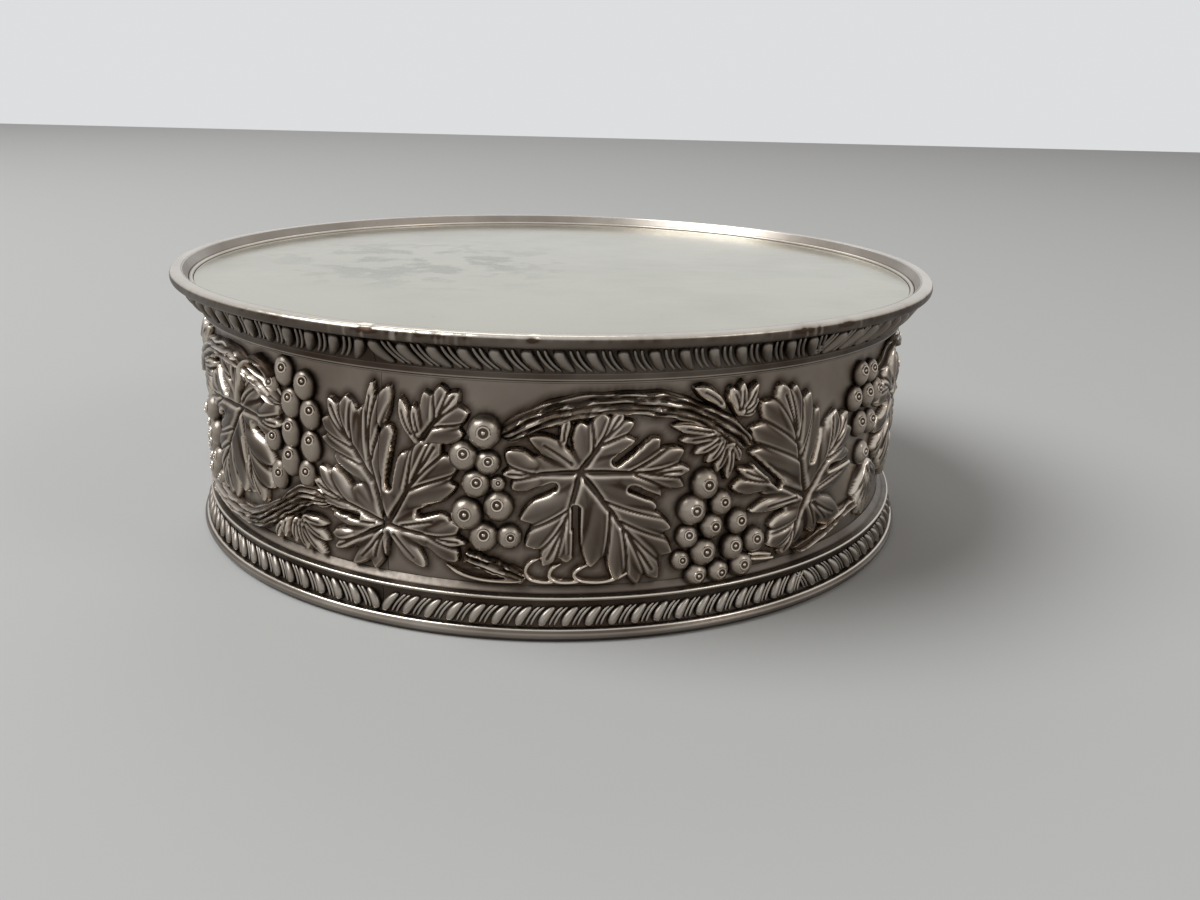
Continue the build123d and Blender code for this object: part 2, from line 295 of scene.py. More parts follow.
def plateMaterial(name, look):
    material, tree, shader = newMaterial(name)
    place = addNode(tree, "ShaderNodeTexCoord").outputs["Object"]
    noises = ("cloud", "mottle", "grain")
    cloud, mottle, grain = (addNoise(tree, place, *look[noise]) for noise in noises)
    stretch = {"Vector": place, "Rotation": look["scratchTurn"], "Scale": look["scratchStretch"]}
    stretched = addNode(tree, "ShaderNodeMapping", stretch).outputs["Vector"]
    scratch = addNoise(tree, stretched, *look["scratch"])
    # The dull patch lies round a spot of the upper face
    centre = look["patchCentre"]
    away = addNode(tree, "ShaderNodeVectorMath", {0: place, 1: centre}, operation="DISTANCE")
    reach = look["patchReach"]
    close = addRange(tree, away.outputs["Value"], reach, reach * look["patchCore"])
    level = addNode(tree, "ShaderNodeSeparateXYZ", {"Vector": place}).outputs["Z"]
    upper = addRange(tree, level, centre[2] - look["patchDepth"], centre[2])
    near = addMath(tree, "MULTIPLY", close, upper)
    patch = addMath(tree, "MULTIPLY", near, addRange(tree, mottle, *look["patchSpan"]))
    mixed = addMath(tree, "MAXIMUM", addRange(tree, cloud, *look["stainSpan"]), patch)
    colour = addBlend(tree, mixed, look["clean"], look["dull"])
    pits = addNode(tree, "ShaderNodeTexVoronoi", {"Vector": place, "Scale": look["pitScale"]})
    pit = addRange(tree, pits.outputs["Distance"], *look["pitEdge"])
    rare = addRange(tree, mottle, *look["pitRarity"])
    spotted = addBlend(tree, addMath(tree, "MULTIPLY", pit, rare), colour, look["pit"])
    rough = addRange(tree, mixed, 0.0, 1.0, look["roughness"], look["dullRoughness"])
    streak = addRange(tree, scratch, *look["scratchSpan"])
    finishMetal(tree, shader, spotted, rough, streak, addMath(tree, "ADD", grain, scratch), look)
    return material


satinSilver = plateMaterial("satinSilver", plateLook)
print("materials made")


# Mesh helpers. Edges sharper than these angles, in degrees, stay sharp.
smoothAngles = {"rings": 35.0, "nodes": 50.0, "stems": 60.0, "leaves": 180.0}


def addPiece(name, points, faces, tarnishAndPaintedShade, material, smoothAngle=smoothAngles["rings"]):
    mesh = bpy.data.meshes.new(name)
    mesh.from_pydata((np.asarray(points) * millimetre).tolist(), [], faces)
    layer = mesh.attributes.new("tarnishAndPaintedShade", "FLOAT", "POINT")
    layer.data.foreach_set("value", np.asarray(tarnishAndPaintedShade, dtype=np.float32))
    mesh.materials.append(material)
    mesh.shade_smooth()
    mesh.set_sharp_from_angle(angle=math.radians(smoothAngle))
    piece = bpy.data.objects.new(name, mesh)
    scene.collection.objects.link(piece)
    return piece


def finishPiece(piece, slotName, *nodes):
    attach(piece, "root")
    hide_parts(*nodes)


def roundCorner(before, corner, after, radius, steps=5):
    back = before - corner
    onward = after - corner
    back = back / np.linalg.norm(back)
    onward = onward / np.linalg.norm(onward)
    half = math.acos(np.clip(back @ onward, -1, 1)) / 2
    reach = radius / math.tan(half)
    middle = corner + (back + onward) / np.linalg.norm(back + onward) * radius / math.sin(half)
    start = corner + back * reach - middle
    end = corner + onward * reach - middle
    turn = math.atan2(start[0] * end[1] - start[1] * end[0], start @ end)
    arc = []
    for step in range(steps + 1):
        angle = turn * step / steps
        cosine, sine = math.cos(angle), math.sin(angle)
        arc.append(middle + (start[0] * cosine - start[1] * sine, start[0] * sine + start[1] * cosine))
    return np.array(arc)


# A corner is a radius, a level and a rounding
def cornerArcs(corners):
    places = np.array([corner[:2] for corner in corners])
    arcs = []
    for i, corner in enumerate(corners):
        if corner[2] > 0:
            arcs.append(roundCorner(places[i - 1], places[i], places[(i + 1) % len(corners)], corner[2]))
        else:
            arcs.append(places[i : i + 1])
    return arcs


# Flats of a ring keep its film, and each corner has its own: low where worn bright, high in a hollow
cornerFilm = {"reach": 0.16, "mostOfFlat": 0.4}


def wornProfile(corners, film):
    arcs = cornerArcs(corners)
    reach = cornerFilm["reach"]
    profile, tarnishAndPaintedShade = [], []
    for i, arc in enumerate(arcs):
        flat = arcs[(i + 1) % len(arcs)][0] - arc[-1]
        profile.extend(arc)
        tarnishAndPaintedShade.extend([corners[i][3]] * len(arc))
        share = min(reach / max(np.linalg.norm(flat), reach), cornerFilm["mostOfFlat"])
        for part in (share, 1 - share):
            profile.append(arc[-1] + flat * part)
            tarnishAndPaintedShade.append(film)
    return np.array(profile), np.array(tarnishAndPaintedShade)


# Faces of a tube of rings of points: looped, or closed with a flat face at each end
def tubeFaces(rings, count, looped=False):
    faces = []
    for i in range(rings if looped else rings - 1):
        here = i * count
        there = (i + 1) % rings * count
        for j in range(count):
            k = (j + 1) % count
            faces.append((here + j, there + j, there + k, here + k))
    if not looped:
        last = (rings - 1) * count
        faces.append(tuple(range(count)))
        faces.append(tuple(range(last, last + count))[::-1])
    return faces


def latheShape(profile, segments, startTurn=0.0, sweep=360.0):
    closed = sweep >= 360.0
    rings = segments if closed else segments + 1
    angles = np.radians(coaster["seamAzimuth"] + startTurn + sweep * np.arange(rings) / segments)
    count = len(profile)
    radii, levels = profile.T
    points = np.empty((rings, count, 3))
    points[:, :, 0] = np.cos(angles)[:, None] * radii
    points[:, :, 1] = np.sin(angles)[:, None] * radii
    points[:, :, 2] = levels
    area = np.sum(radii * np.roll(levels, -1) - np.roll(radii, -1) * levels)
    faces = tubeFaces(rings, count, closed)
    if area <= 0:
        faces = [face[::-1] for face in faces]
    return points.reshape(-1, 3), faces


# Plain rings: the slot and the silver of the finish, the film of the flats, and corners with their films.
# The deep films on the outer bands are tarnish and also a painted dark reflection.
satin = ("satin_plate", satinSilver)
polished = ("polished_plate", polishedSilver)
liner = ("liner_plate", linerSilver)
ringPieces = {
    "basePlate": {
        "node": "base_plate",
        "finish": satin,
        "film": 0.0,
        "corners": (
            (0.0, 51.6, 0.0, 0.0),
            (77.95, 51.6, 0.0, 0.0),
            (77.95, 52.8, 0.15, 0.0),
            (0.0, 52.8, 0.0, 0.0),
        ),
    },
    "plateBead": {
        "node": "plate_bead",
        "finish": polished,
        "film": 0.5,
        "corners": (
            (78.0, 52.8, 0.0, 0.9),
            (78.85, 52.8, 0.0, 0.9),
            (78.85, 53.3, 0.36, 0.1),
            (78.0, 53.3, 0.36, 0.1),
        ),
    },
    "rimCollar": {
        "node": "rim_collar",
        "finish": polished,
        "film": 0.6,
        "corners": (
            (78.9, 52.8, 0.0, 0.9),
            (80.15, 52.8, 0.0, 0.9),
            (80.15, 55.0, 0.0, 0.2),
            (80.0, 55.0, 0.12, 0.1),
            (78.9, 53.2, 0.1, 0.8),
        ),
    },
    "filletRing": {
        "node": "fillet_ring",
        "finish": polished,
        "film": 0.96,
        "corners": (
            (75.45, 45.7, 0.0, 0.95),
            (76.4, 45.7, 0.3, 0.72),
            (76.4, 46.3, 0.12, 1.0),
            (76.9, 46.3, 0.2, 0.6),
            (76.9, 47.6, 0.1, 0.9),
            (75.45, 47.6, 0.0, 0.95),
        ),
    },
    "ridgeWire": {
        "node": "ridge_wire",
        "finish": polished,
        "film": 0.85,
        "corners": (
            (75.45, 8.8, 0.0, 0.9),
            (75.45, 7.0, 0.0, 0.9),
            (78.05, 7.0, 0.22, 0.6),
            (78.05, 7.6, 0.25, 0.02),
            (76.6, 7.75, 0.6, 0.92),
        ),
    },
    "lipWire": {
        "node": "lip_wire",
        "finish": polished,
        "film": 0.88,
        "corners": (
            (79.2, 2.1, 0.3, 0.05),
            (73.75, 2.1, 0.0, 0.9),
            (73.75, 0.9, 0.15, 0.5),
            (77.6, 0.9, 0.1, 0.9),
            (77.6, 0.0, 0.25, 0.4),
            (79.3, 0.0, 0.35, 0.85),
            (79.98, 1.05, 0.7, 0.72),
        ),
    },
    "linerSleeve": {
        "node": "liner_sleeve",
        "finish": liner,
        "film": 0.15,
        "corners": (
            (73.75, 2.1, 0.0, 0.3),
            (74.55, 2.1, 0.0, 0.3),
            (74.55, 51.6, 0.0, 0.3),
            (73.75, 51.6, 0.0, 0.5),
        ),
    },
}
ringSegments = 256
for name, ring in ringPieces.items():
    slotName, silver = ring["finish"]
    profile, tarnishAndPaintedShade = wornProfile(ring["corners"], ring["film"])
    points, faces = latheShape(profile, ringSegments)
    piece = addPiece(name, points, faces, np.tile(tarnishAndPaintedShade, ringSegments), silver)
    finishPiece(piece, slotName, ring["node"])
print("plain rings made:", len(ringPieces))


# Rim edge wire, scuffed and dented along its outer edge. Dents: turn from the front, depth and reach;
# scuffs: period, seed and share of each noise.
rimWire = {
    "corners": ((80.2, 52.8, 0.0), (82.5, 52.8, 0.8), (82.5, 55.0, 0.85), (80.2, 55.0, 0.0)),
    "segments": 1080,
    "middle": (81.35, 53.9),
    "edgeStart": (81.2, 53.6),
    "edgeBlend": 1.0,
    "crestLevel": 54.72,
    "crestBlend": 0.28,
    "crestFilm": 0.04,
    "film": 0.88,
    "dents": (
        (-22.0, 0.28, 0.8),
        (-2.5, 0.22, 0.6),
        (-13.0, 0.15, 0.6),
        (31.0, 0.15, 1.2),
        (38.0, 0.15, 1.0),
    ),
    "dentFilm": 0.6,
    "dentFull": 0.3,
    "wornStretches": ((-18.0, 9.0), (34.0, 9.0), (150.0, 20.0)),
    "scuffs": ((720, 3, 0.6), (311, 5, 0.4)),
    "scuffStart": 0.35,
    "scuffGain": 2.0,
    "scuffDepth": 0.16,
    "scuffFloor": 0.3,
    "flecks": (997, 11),
    "fleckRepeats": 3.0,
    "fleckStart": 0.6,
    "fleckGain": 2.0,
}


def smoothNoise(values, period, seed):
    source = np.random.default_rng(seed).random(period)
    position = np.asarray(values) * period
    low = np.floor(position).astype(int)
    part = position - low
    part = part * part * (3 - 2 * part)
    return source[low % period] * (1 - part) + source[(low + 1) % period] * part


def wrapped(turn):
    return (turn + 180) % 360 - 180


def makeRimWire(settings):
    points, faces = latheShape(np.vstack(cornerArcs(settings["corners"])), settings["segments"])
    turn = wrapped(np.degrees(np.arctan2(points[:, 1], points[:, 0])) + 90)
    radius = np.hypot(points[:, 0], points[:, 1])
    section = np.stack((radius, points[:, 2]), axis=1)
    edge = np.clip((section - settings["edgeStart"]) / settings["edgeBlend"], 0, 1).prod(axis=1)
    worn = np.full(len(points), settings["scuffFloor"])
    for centre, reach in settings["wornStretches"]:
        worn = np.maximum(worn, np.exp(-((wrapped(turn - centre) / reach) ** 2)))
    share = (turn + 180) / 360
    rough = sum(part * smoothNoise(share, period, seed) for period, seed, part in settings["scuffs"])
    scuff = settings["scuffGain"] * np.clip(rough - settings["scuffStart"], 0, 1)
    depth = settings["scuffDepth"] * worn * scuff
    for centre, drop, reach in settings["dents"]:
        depth = depth + drop * np.exp(-(((turn - centre) / reach) ** 2))
    inward = np.array(settings["middle"]) - section
    inward /= np.maximum(np.linalg.norm(inward, axis=1), 1e-6)[:, None]
    section += inward * (depth * edge)[:, None]
    points[:, :2] *= (section[:, 0] / radius)[:, None]
    points[:, 2] = section[:, 1]
    # Painted highlight and painted dark reflection, with tarnish: the crest stays bright while the outer
    # face below it is dark
    face = np.clip((settings["crestLevel"] - points[:, 2]) / settings["crestBlend"], 0, 1)
    scraped = np.clip(worn - settings["scuffFloor"], 0, 1)
    flecks = smoothNoise(share * settings["fleckRepeats"], *settings["flecks"]) - settings["fleckStart"]
    flecks = np.clip(flecks, 0, 1) * settings["fleckGain"] * scraped
    dented = np.clip(depth / settings["dentFull"], 0, 1) * edge
    tarnishAndPaintedShade = settings["crestFilm"] + settings["film"] * face * (1 - flecks)
    tarnishAndPaintedShade = tarnishAndPaintedShade + settings["dentFilm"] * dented
    piece = addPiece("rimEdgeWire", points, faces, tarnishAndPaintedShade, polishedSilver)
    finishPiece(piece, "polished_plate", "rim_edge_wire")


makeRimWire(rimWire)
print("rim wire made")


# Geometry Nodes helpers
def newTree(name, entryLabel, exitLabel):
    tree = bpy.data.node_groups.new(name, "GeometryNodeTree")
    tree.interface.new_socket(name=entryLabel, in_out="INPUT", socket_type="NodeSocketGeometry")
    tree.interface.new_socket(name=exitLabel, in_out="OUTPUT", socket_type="NodeSocketGeometry")
    return tree


def addInputs(tree, kind, *labels):
    identifiers = {}
    for label in labels:
        socket = tree.interface.new_socket(name=label, in_out="INPUT", socket_type=kind)
        identifiers[label] = socket.identifier
    return identifiers


def joinParts(tree, parts):
    join = addNode(tree, "GeometryNodeJoinGeometry")
    for part in parts:
        tree.links.new(part, join.inputs["Geometry"])
    return join.outputs["Geometry"]


def addCircle(tree, steps, radius):
    inputs = {"Resolution": steps, "Radius": radius}
    return addNode(tree, "GeometryNodeCurvePrimitiveCircle", inputs).outputs["Curve"]


def darken(tree, geometry, film):
    inputs = {"Geometry": geometry, "Name": "tarnishAndPaintedShade", "Value": film}
    store = addNode(tree, "GeometryNodeStoreNamedAttribute", inputs, data_type="FLOAT", domain="POINT")
    return store.outputs["Geometry"]


def closeTree(tree, geometry, entry):
    finish = addNode(tree, "GeometryNodeSetMaterial", {"Geometry": geometry, "Material": entry["Material"]})
    addNode(tree, "NodeGroupOutput", {0: finish.outputs["Geometry"]})


def bakeNodes(piece, tree, identifiers, values):
    modifier = piece.modifiers.new(tree.name, "NODES")
    modifier.node_group = tree
    for label, value in values.items():
        modifier[identifiers[label]] = value
    depsgraph = bpy.context.evaluated_depsgraph_get()
    baked = bpy.data.meshes.new_from_object(piece.evaluated_get(depsgraph), depsgraph=depsgraph)
    piece.modifiers.clear()
    old = piece.data
    piece.data = baked
    bpy.data.meshes.remove(old)
    baked.shade_smooth()
    baked.set_sharp_from_angle(angle=math.radians(smoothAngles["nodes"]))


# Gadroon borders: a Geometry Nodes tree sets one fat lobe and two thin reeds at each step along a length
gadroonShape = {
    "spineSteps": 9,
    "ringSteps": 8,
    "headPower": 0.3,
    "tailPower": 0.6,
    "lobeGain": 1.77,
    "reedPower": 0.3,
    "weld": 0.012,
    "crestFacing": 0.85,
    "stripSteps": 60,
    "endGap": 0.04,
}


def gadroonTree(shape):
    tree = newTree("gadroonLength", "Strip", "Border")
    angles = ("Start Angle", "Pitch Angle", "First Reed Turn", "Second Reed Turn")
    identifiers = addInputs(tree, "NodeSocketInt", "Lobes")
    identifiers |= addInputs(tree, "NodeSocketFloat", "Lobe Radius", "Reed Radius", "Crest Film", *angles)
    identifiers |= addInputs(tree, "NodeSocketVector", "Head", "Elbow", "Tail")
    identifiers |= addInputs(tree, "NodeSocketMaterial", "Material")
    entry = addNode(tree, "NodeGroupInput").outputs

    def calculate(operation, *values):
        return addMath(tree, operation, *values)

    bends = {"Start": entry["Head"], "Middle": entry["Elbow"], "End": entry["Tail"]}
    bends["Resolution"] = shape["spineSteps"]
    spine = addNode(tree, "GeometryNodeCurveQuadraticBezier", bends).outputs["Curve"]
    ring = addCircle(tree, shape["ringSteps"], 1.0)
    along = addNode(tree, "GeometryNodeSplineParameter").outputs["Factor"]
    rest = calculate("SUBTRACT", 1.0, along)
    headed = calculate("POWER", along, shape["headPower"])
    swell = calculate("MULTIPLY", headed, calculate("POWER", rest, shape["tailPower"]))
    lobeShare = calculate("MULTIPLY", swell, shape["lobeGain"])
    lobeSize = calculate("MULTIPLY", lobeShare, entry["Lobe Radius"])
    middling = calculate("MULTIPLY", calculate("MULTIPLY", along, rest), 4.0)
    reedShare = calculate("POWER", middling, shape["reedPower"])
    reedSize = calculate("MULTIPLY", reedShare, entry["Reed Radius"])
    bodies = []
    for size in (lobeSize, reedSize):
        inputs = {"Curve": spine, "Profile Curve": ring, "Scale": size}
        body = addNode(tree, "GeometryNodeCurveToMesh", inputs)
        inputs = {"Geometry": body.outputs["Mesh"], "Distance": shape["weld"] * millimetre}
        bodies.append(addNode(tree, "GeometryNodeMergeByDistance", inputs).outputs["Geometry"])
    parts = [bodies[0]]
    for label in ("First Reed Turn", "Second Reed Turn"):
        turn = addNode(tree, "ShaderNodeCombineXYZ", {"Z": entry[label]}).outputs["Vector"]
        shift = addNode(tree, "GeometryNodeTransform", {"Geometry": bodies[1], "Rotation": turn})
        parts.append(shift.outputs["Geometry"])
    normal = addNode(tree, "GeometryNodeInputNormal").outputs["Normal"]
    outward = addNode(tree, "ShaderNodeSeparateXYZ", {"Vector": normal}).outputs["X"]
    darkening = addRange(tree, outward, shape["crestFacing"], 0.0, entry["Crest Film"])
    unit = darken(tree, joinParts(tree, parts), darkening)
    row = addNode(tree, "GeometryNodePoints", {"Count": entry["Lobes"]}).outputs["Points"]
    step = calculate("ADD", addNode(tree, "GeometryNodeInputIndex").outputs["Index"], 0.5)
    angle = calculate("ADD", calculate("MULTIPLY", step, entry["Pitch Angle"]), entry["Start Angle"])
    facing = addNode(tree, "ShaderNodeCombineXYZ", {"Z": angle}).outputs["Vector"]
    inputs = {"Points": row, "Instance": unit, "Rotation": facing}
    lobes = addNode(tree, "GeometryNodeInstanceOnPoints", inputs)
    real = addNode(tree, "GeometryNodeRealizeInstances", {"Geometry": lobes.outputs["Instances"]})
    closeTree(tree, joinParts(tree, (entry["Strip"], real.outputs["Geometry"])), entry)
    return tree, identifiers


# Each border has its strip's section as radius and level, a lobe's three knots, and its turns in degrees
rimBorder = {
    "name": "rimGadroon",
    "node": "rim_gadroon",
    "strip": (
        (75.45, 47.6),
        (76.9, 47.6),
        (77.25, 48.6),
        (78.1, 50.3),
        (79.3, 51.8),
        (80.5, 52.8),
        (78.0, 52.8),
        (78.0, 51.6),
        (75.45, 51.6),
    ),
    "head": (80.15, 52.45),
    "elbow": (78.3, 49.9),
    "tail": (77.0, 47.8),
    "lobes": 16,
    "lobeRadius": 1.12,
    "reedRadius": 0.38,
    "firstReed": 1.42,
    "secondReed": 2.24,
    "lean": -2.3,
    "bow": 0.35,
    "crestFilm": 0.7,
    "film": 0.97,
}
lipBorder = {
    "name": "lipGadroon",
    "node": "lip_gadroon",
    "strip": ((75.45, 2.1), (78.1, 2.1), (77.6, 3.6), (77.35, 5.4), (77.75, 7.0), (75.45, 7.0)),
    "head": (78.35, 2.2),
    "elbow": (77.95, 4.2),
    "tail": (77.45, 5.9),
    "lobes": 20,
    "lobeRadius": 0.92,
    "reedRadius": 0.3,
    "firstReed": 1.08,
    "secondReed": 1.72,
    "lean": -2.0,
    "bow": 0.35,
    "crestFilm": 0.5,
    "film": 0.97,
}


def borderPoint(point, turn):
    radius, level = point
    angle = math.radians(turn)
    place = (radius * math.cos(angle), radius * math.sin(angle), level)
    return tuple(size * millimetre for size in place)


def makeBorder(settings, shape, tree, identifiers):
    sweep = 360 / coaster["sections"]
    gap = shape["endGap"]
    for i in range(coaster["sections"]):
        hand = 1 if i % 2 == 0 else -1
        lean = settings["lean"] * hand
        strip = np.array(settings["strip"])
        points, faces = latheShape(strip, shape["stripSteps"], i * sweep + gap, sweep - 2 * gap)
        film = np.full(len(points), settings["film"])
        piece = addPiece(f"{settings['name']}{i + 1}", points, faces, film, polishedSilver)
        values = {
            "Lobes": settings["lobes"],
            "Start Angle": math.radians(coaster["seamAzimuth"] + i * sweep),
            "Pitch Angle": math.radians(sweep / settings["lobes"]),
            "Lobe Radius": settings["lobeRadius"] * millimetre,
            "Reed Radius": settings["reedRadius"] * millimetre,
            "First Reed Turn": math.radians(settings["firstReed"] * hand),
            "Second Reed Turn": math.radians(settings["secondReed"] * hand),
            "Crest Film": settings["crestFilm"],
            "Head": borderPoint(settings["head"], lean / 2),
            "Elbow": borderPoint(settings["elbow"], lean * settings["bow"]),
            "Tail": borderPoint(settings["tail"], -lean / 2),
            "Material": polishedSilver,
        }
        bakeNodes(piece, tree, identifiers, values)
        finishPiece(piece, "polished_plate", f"{settings['node']}_{i + 1}")


gadroons, gadroonInputs = gadroonTree(gadroonShape)
for border in (rimBorder, lipBorder):
    makeBorder(border, gadroonShape, gadroons, gadroonInputs)
print("gadroon borders made")


# Vine relief, drawn flat: along the wall from the seam, up from the band's foot, and out from the ground
def wallAzimuth(alongs, panel):
    start = math.radians(coaster["seamAzimuth"] + panel * 360 / coaster["panels"])
    return start + alongs / coaster["wallRadius"]


def toWall(flat, panel):
    azimuth = wallAzimuth(flat[:, 0], panel)
    radius = coaster["wallRadius"] + flat[:, 2]
    level = coaster["bandFoot"] + flat[:, 1]
    return np.stack((radius * np.cos(azimuth), radius * np.sin(azimuth), level), axis=1)


def arcLength(turn):
    return math.radians(turn) * coaster["wallRadius"]


def curvedLine(start, control, end, count):
    t = np.linspace(0, 1, count)[:, None]
    return (1 - t) ** 2 * start + 2 * t * (1 - t) * control + t**2 * end


def bentLine(start, end, bend, count):
    across = np.array((start[1] - end[1], end[0] - start[0]))
    return curvedLine(start, (start + end) / 2 + across * bend, end, count)


def throughPoints(knots, count):
    knots = np.asarray(knots, float)
    padded = np.vstack((2 * knots[0] - knots[1], knots, 2 * knots[-1] - knots[-2]))
    line = []
    for spot in np.linspace(0, len(knots) - 1 - 1e-6, count):
        i = int(spot)
        t = spot - i
        a, b, c, d = padded[i : i + 4]
        bow = (2 * a - 5 * b + 4 * c - d) * t**2
        line.append(0.5 * (2 * b + (c - a) * t + bow + (3 * b - a - 3 * c + d) * t**3))
    return np.array(line)


def nearestOnLine(spots, line):
    run = np.diff(line, axis=0)
    offset = spots[:, None, :] - line[None, :-1, :]
    share = np.clip((offset * run).sum(axis=2) / np.maximum((run**2).sum(axis=1), 1e-9), 0, 1)
    gap = np.linalg.norm(offset - share[:, :, None] * run, axis=2)
    nearest = gap.argmin(axis=1)
    rows = np.arange(len(spots))
    return gap[rows, nearest], (nearest + share[rows, nearest]) / len(run)


def softened(field, times=1):
    for turn in range(times):
        padded = np.pad(field, 1, mode="edge")
        wide = padded[:-2] + 2 * padded[1:-1] + padded[2:]
        field = (wide[:, :-2] + 2 * wide[:, 1:-1] + wide[:, 2:]) / 16
    return field


# Front, back and sides of a sheet on a grid, from the cells of the grid that it fills
def closedShell(cells):
    rows = cells.shape[1] + 1
    count = (cells.shape[0] + 1) * rows
    padded = np.pad(cells, 1)
    column, row = np.nonzero(cells)
    first = column * rows + row
    front = np.stack((first, first + rows, first + rows + 1, first + 1), axis=1)
    quads = [front, front[:, ::-1] + count]
    for beside, start, end in (
        ((0, -1), (0, 0), (1, 0)),
        ((1, 0), (1, 0), (1, 1)),
        ((0, 1), (1, 1), (0, 1)),
        ((-1, 0), (0, 1), (0, 0)),
    ):
        neighbour = np.roll(padded, (-beside[0], -beside[1]), axis=(0, 1))[1:-1, 1:-1]
        column, row = np.nonzero(cells & ~neighbour)
        a = (column + start[0]) * rows + row + start[1]
        b = (column + end[0]) * rows + row + end[1]
        quads.append(np.stack((b, a, a + count, b + count), axis=1))
    return np.vstack(quads)


# Profile and film of a stamped leaf: a form grows from its root to its peak, then tapers to its tip. Its
# film holds tarnish and wear, with painted occlusion shade in creases, beside raised parts and at the foot.
leafForm = {
    "reach": 0.5,
    "veinReach": 4,
    "growth": 0.8,
    "taper": 2.0,
    "tipPower": 0.72,
    "crown": (2.7, 0.55),
    "level": 0.72,
    "swell": 0.28,
    "swellPower": 0.8,
    "tipDrop": 0.25,
    "blend": 0.7,
    "veinTaper": 0.6,
    "trenchFade": 0.5,
    "ribFade": 0.7,
    "ribShare": 0.42,
    "slotTaper": 0.3,
    "thinnest": 0.12,
    "fineSoftening": 2,
    "wideSoftening": 8,
    "creasePaintedShadeGain": 10.0,
    "broadPaintedShadeGain": 1.6,
    "foot": 0.25,
    "trim": 0.35,
    "cornerPasses": 4,
    "borderShare": 0.99,
    "backGap": 0.15,
}


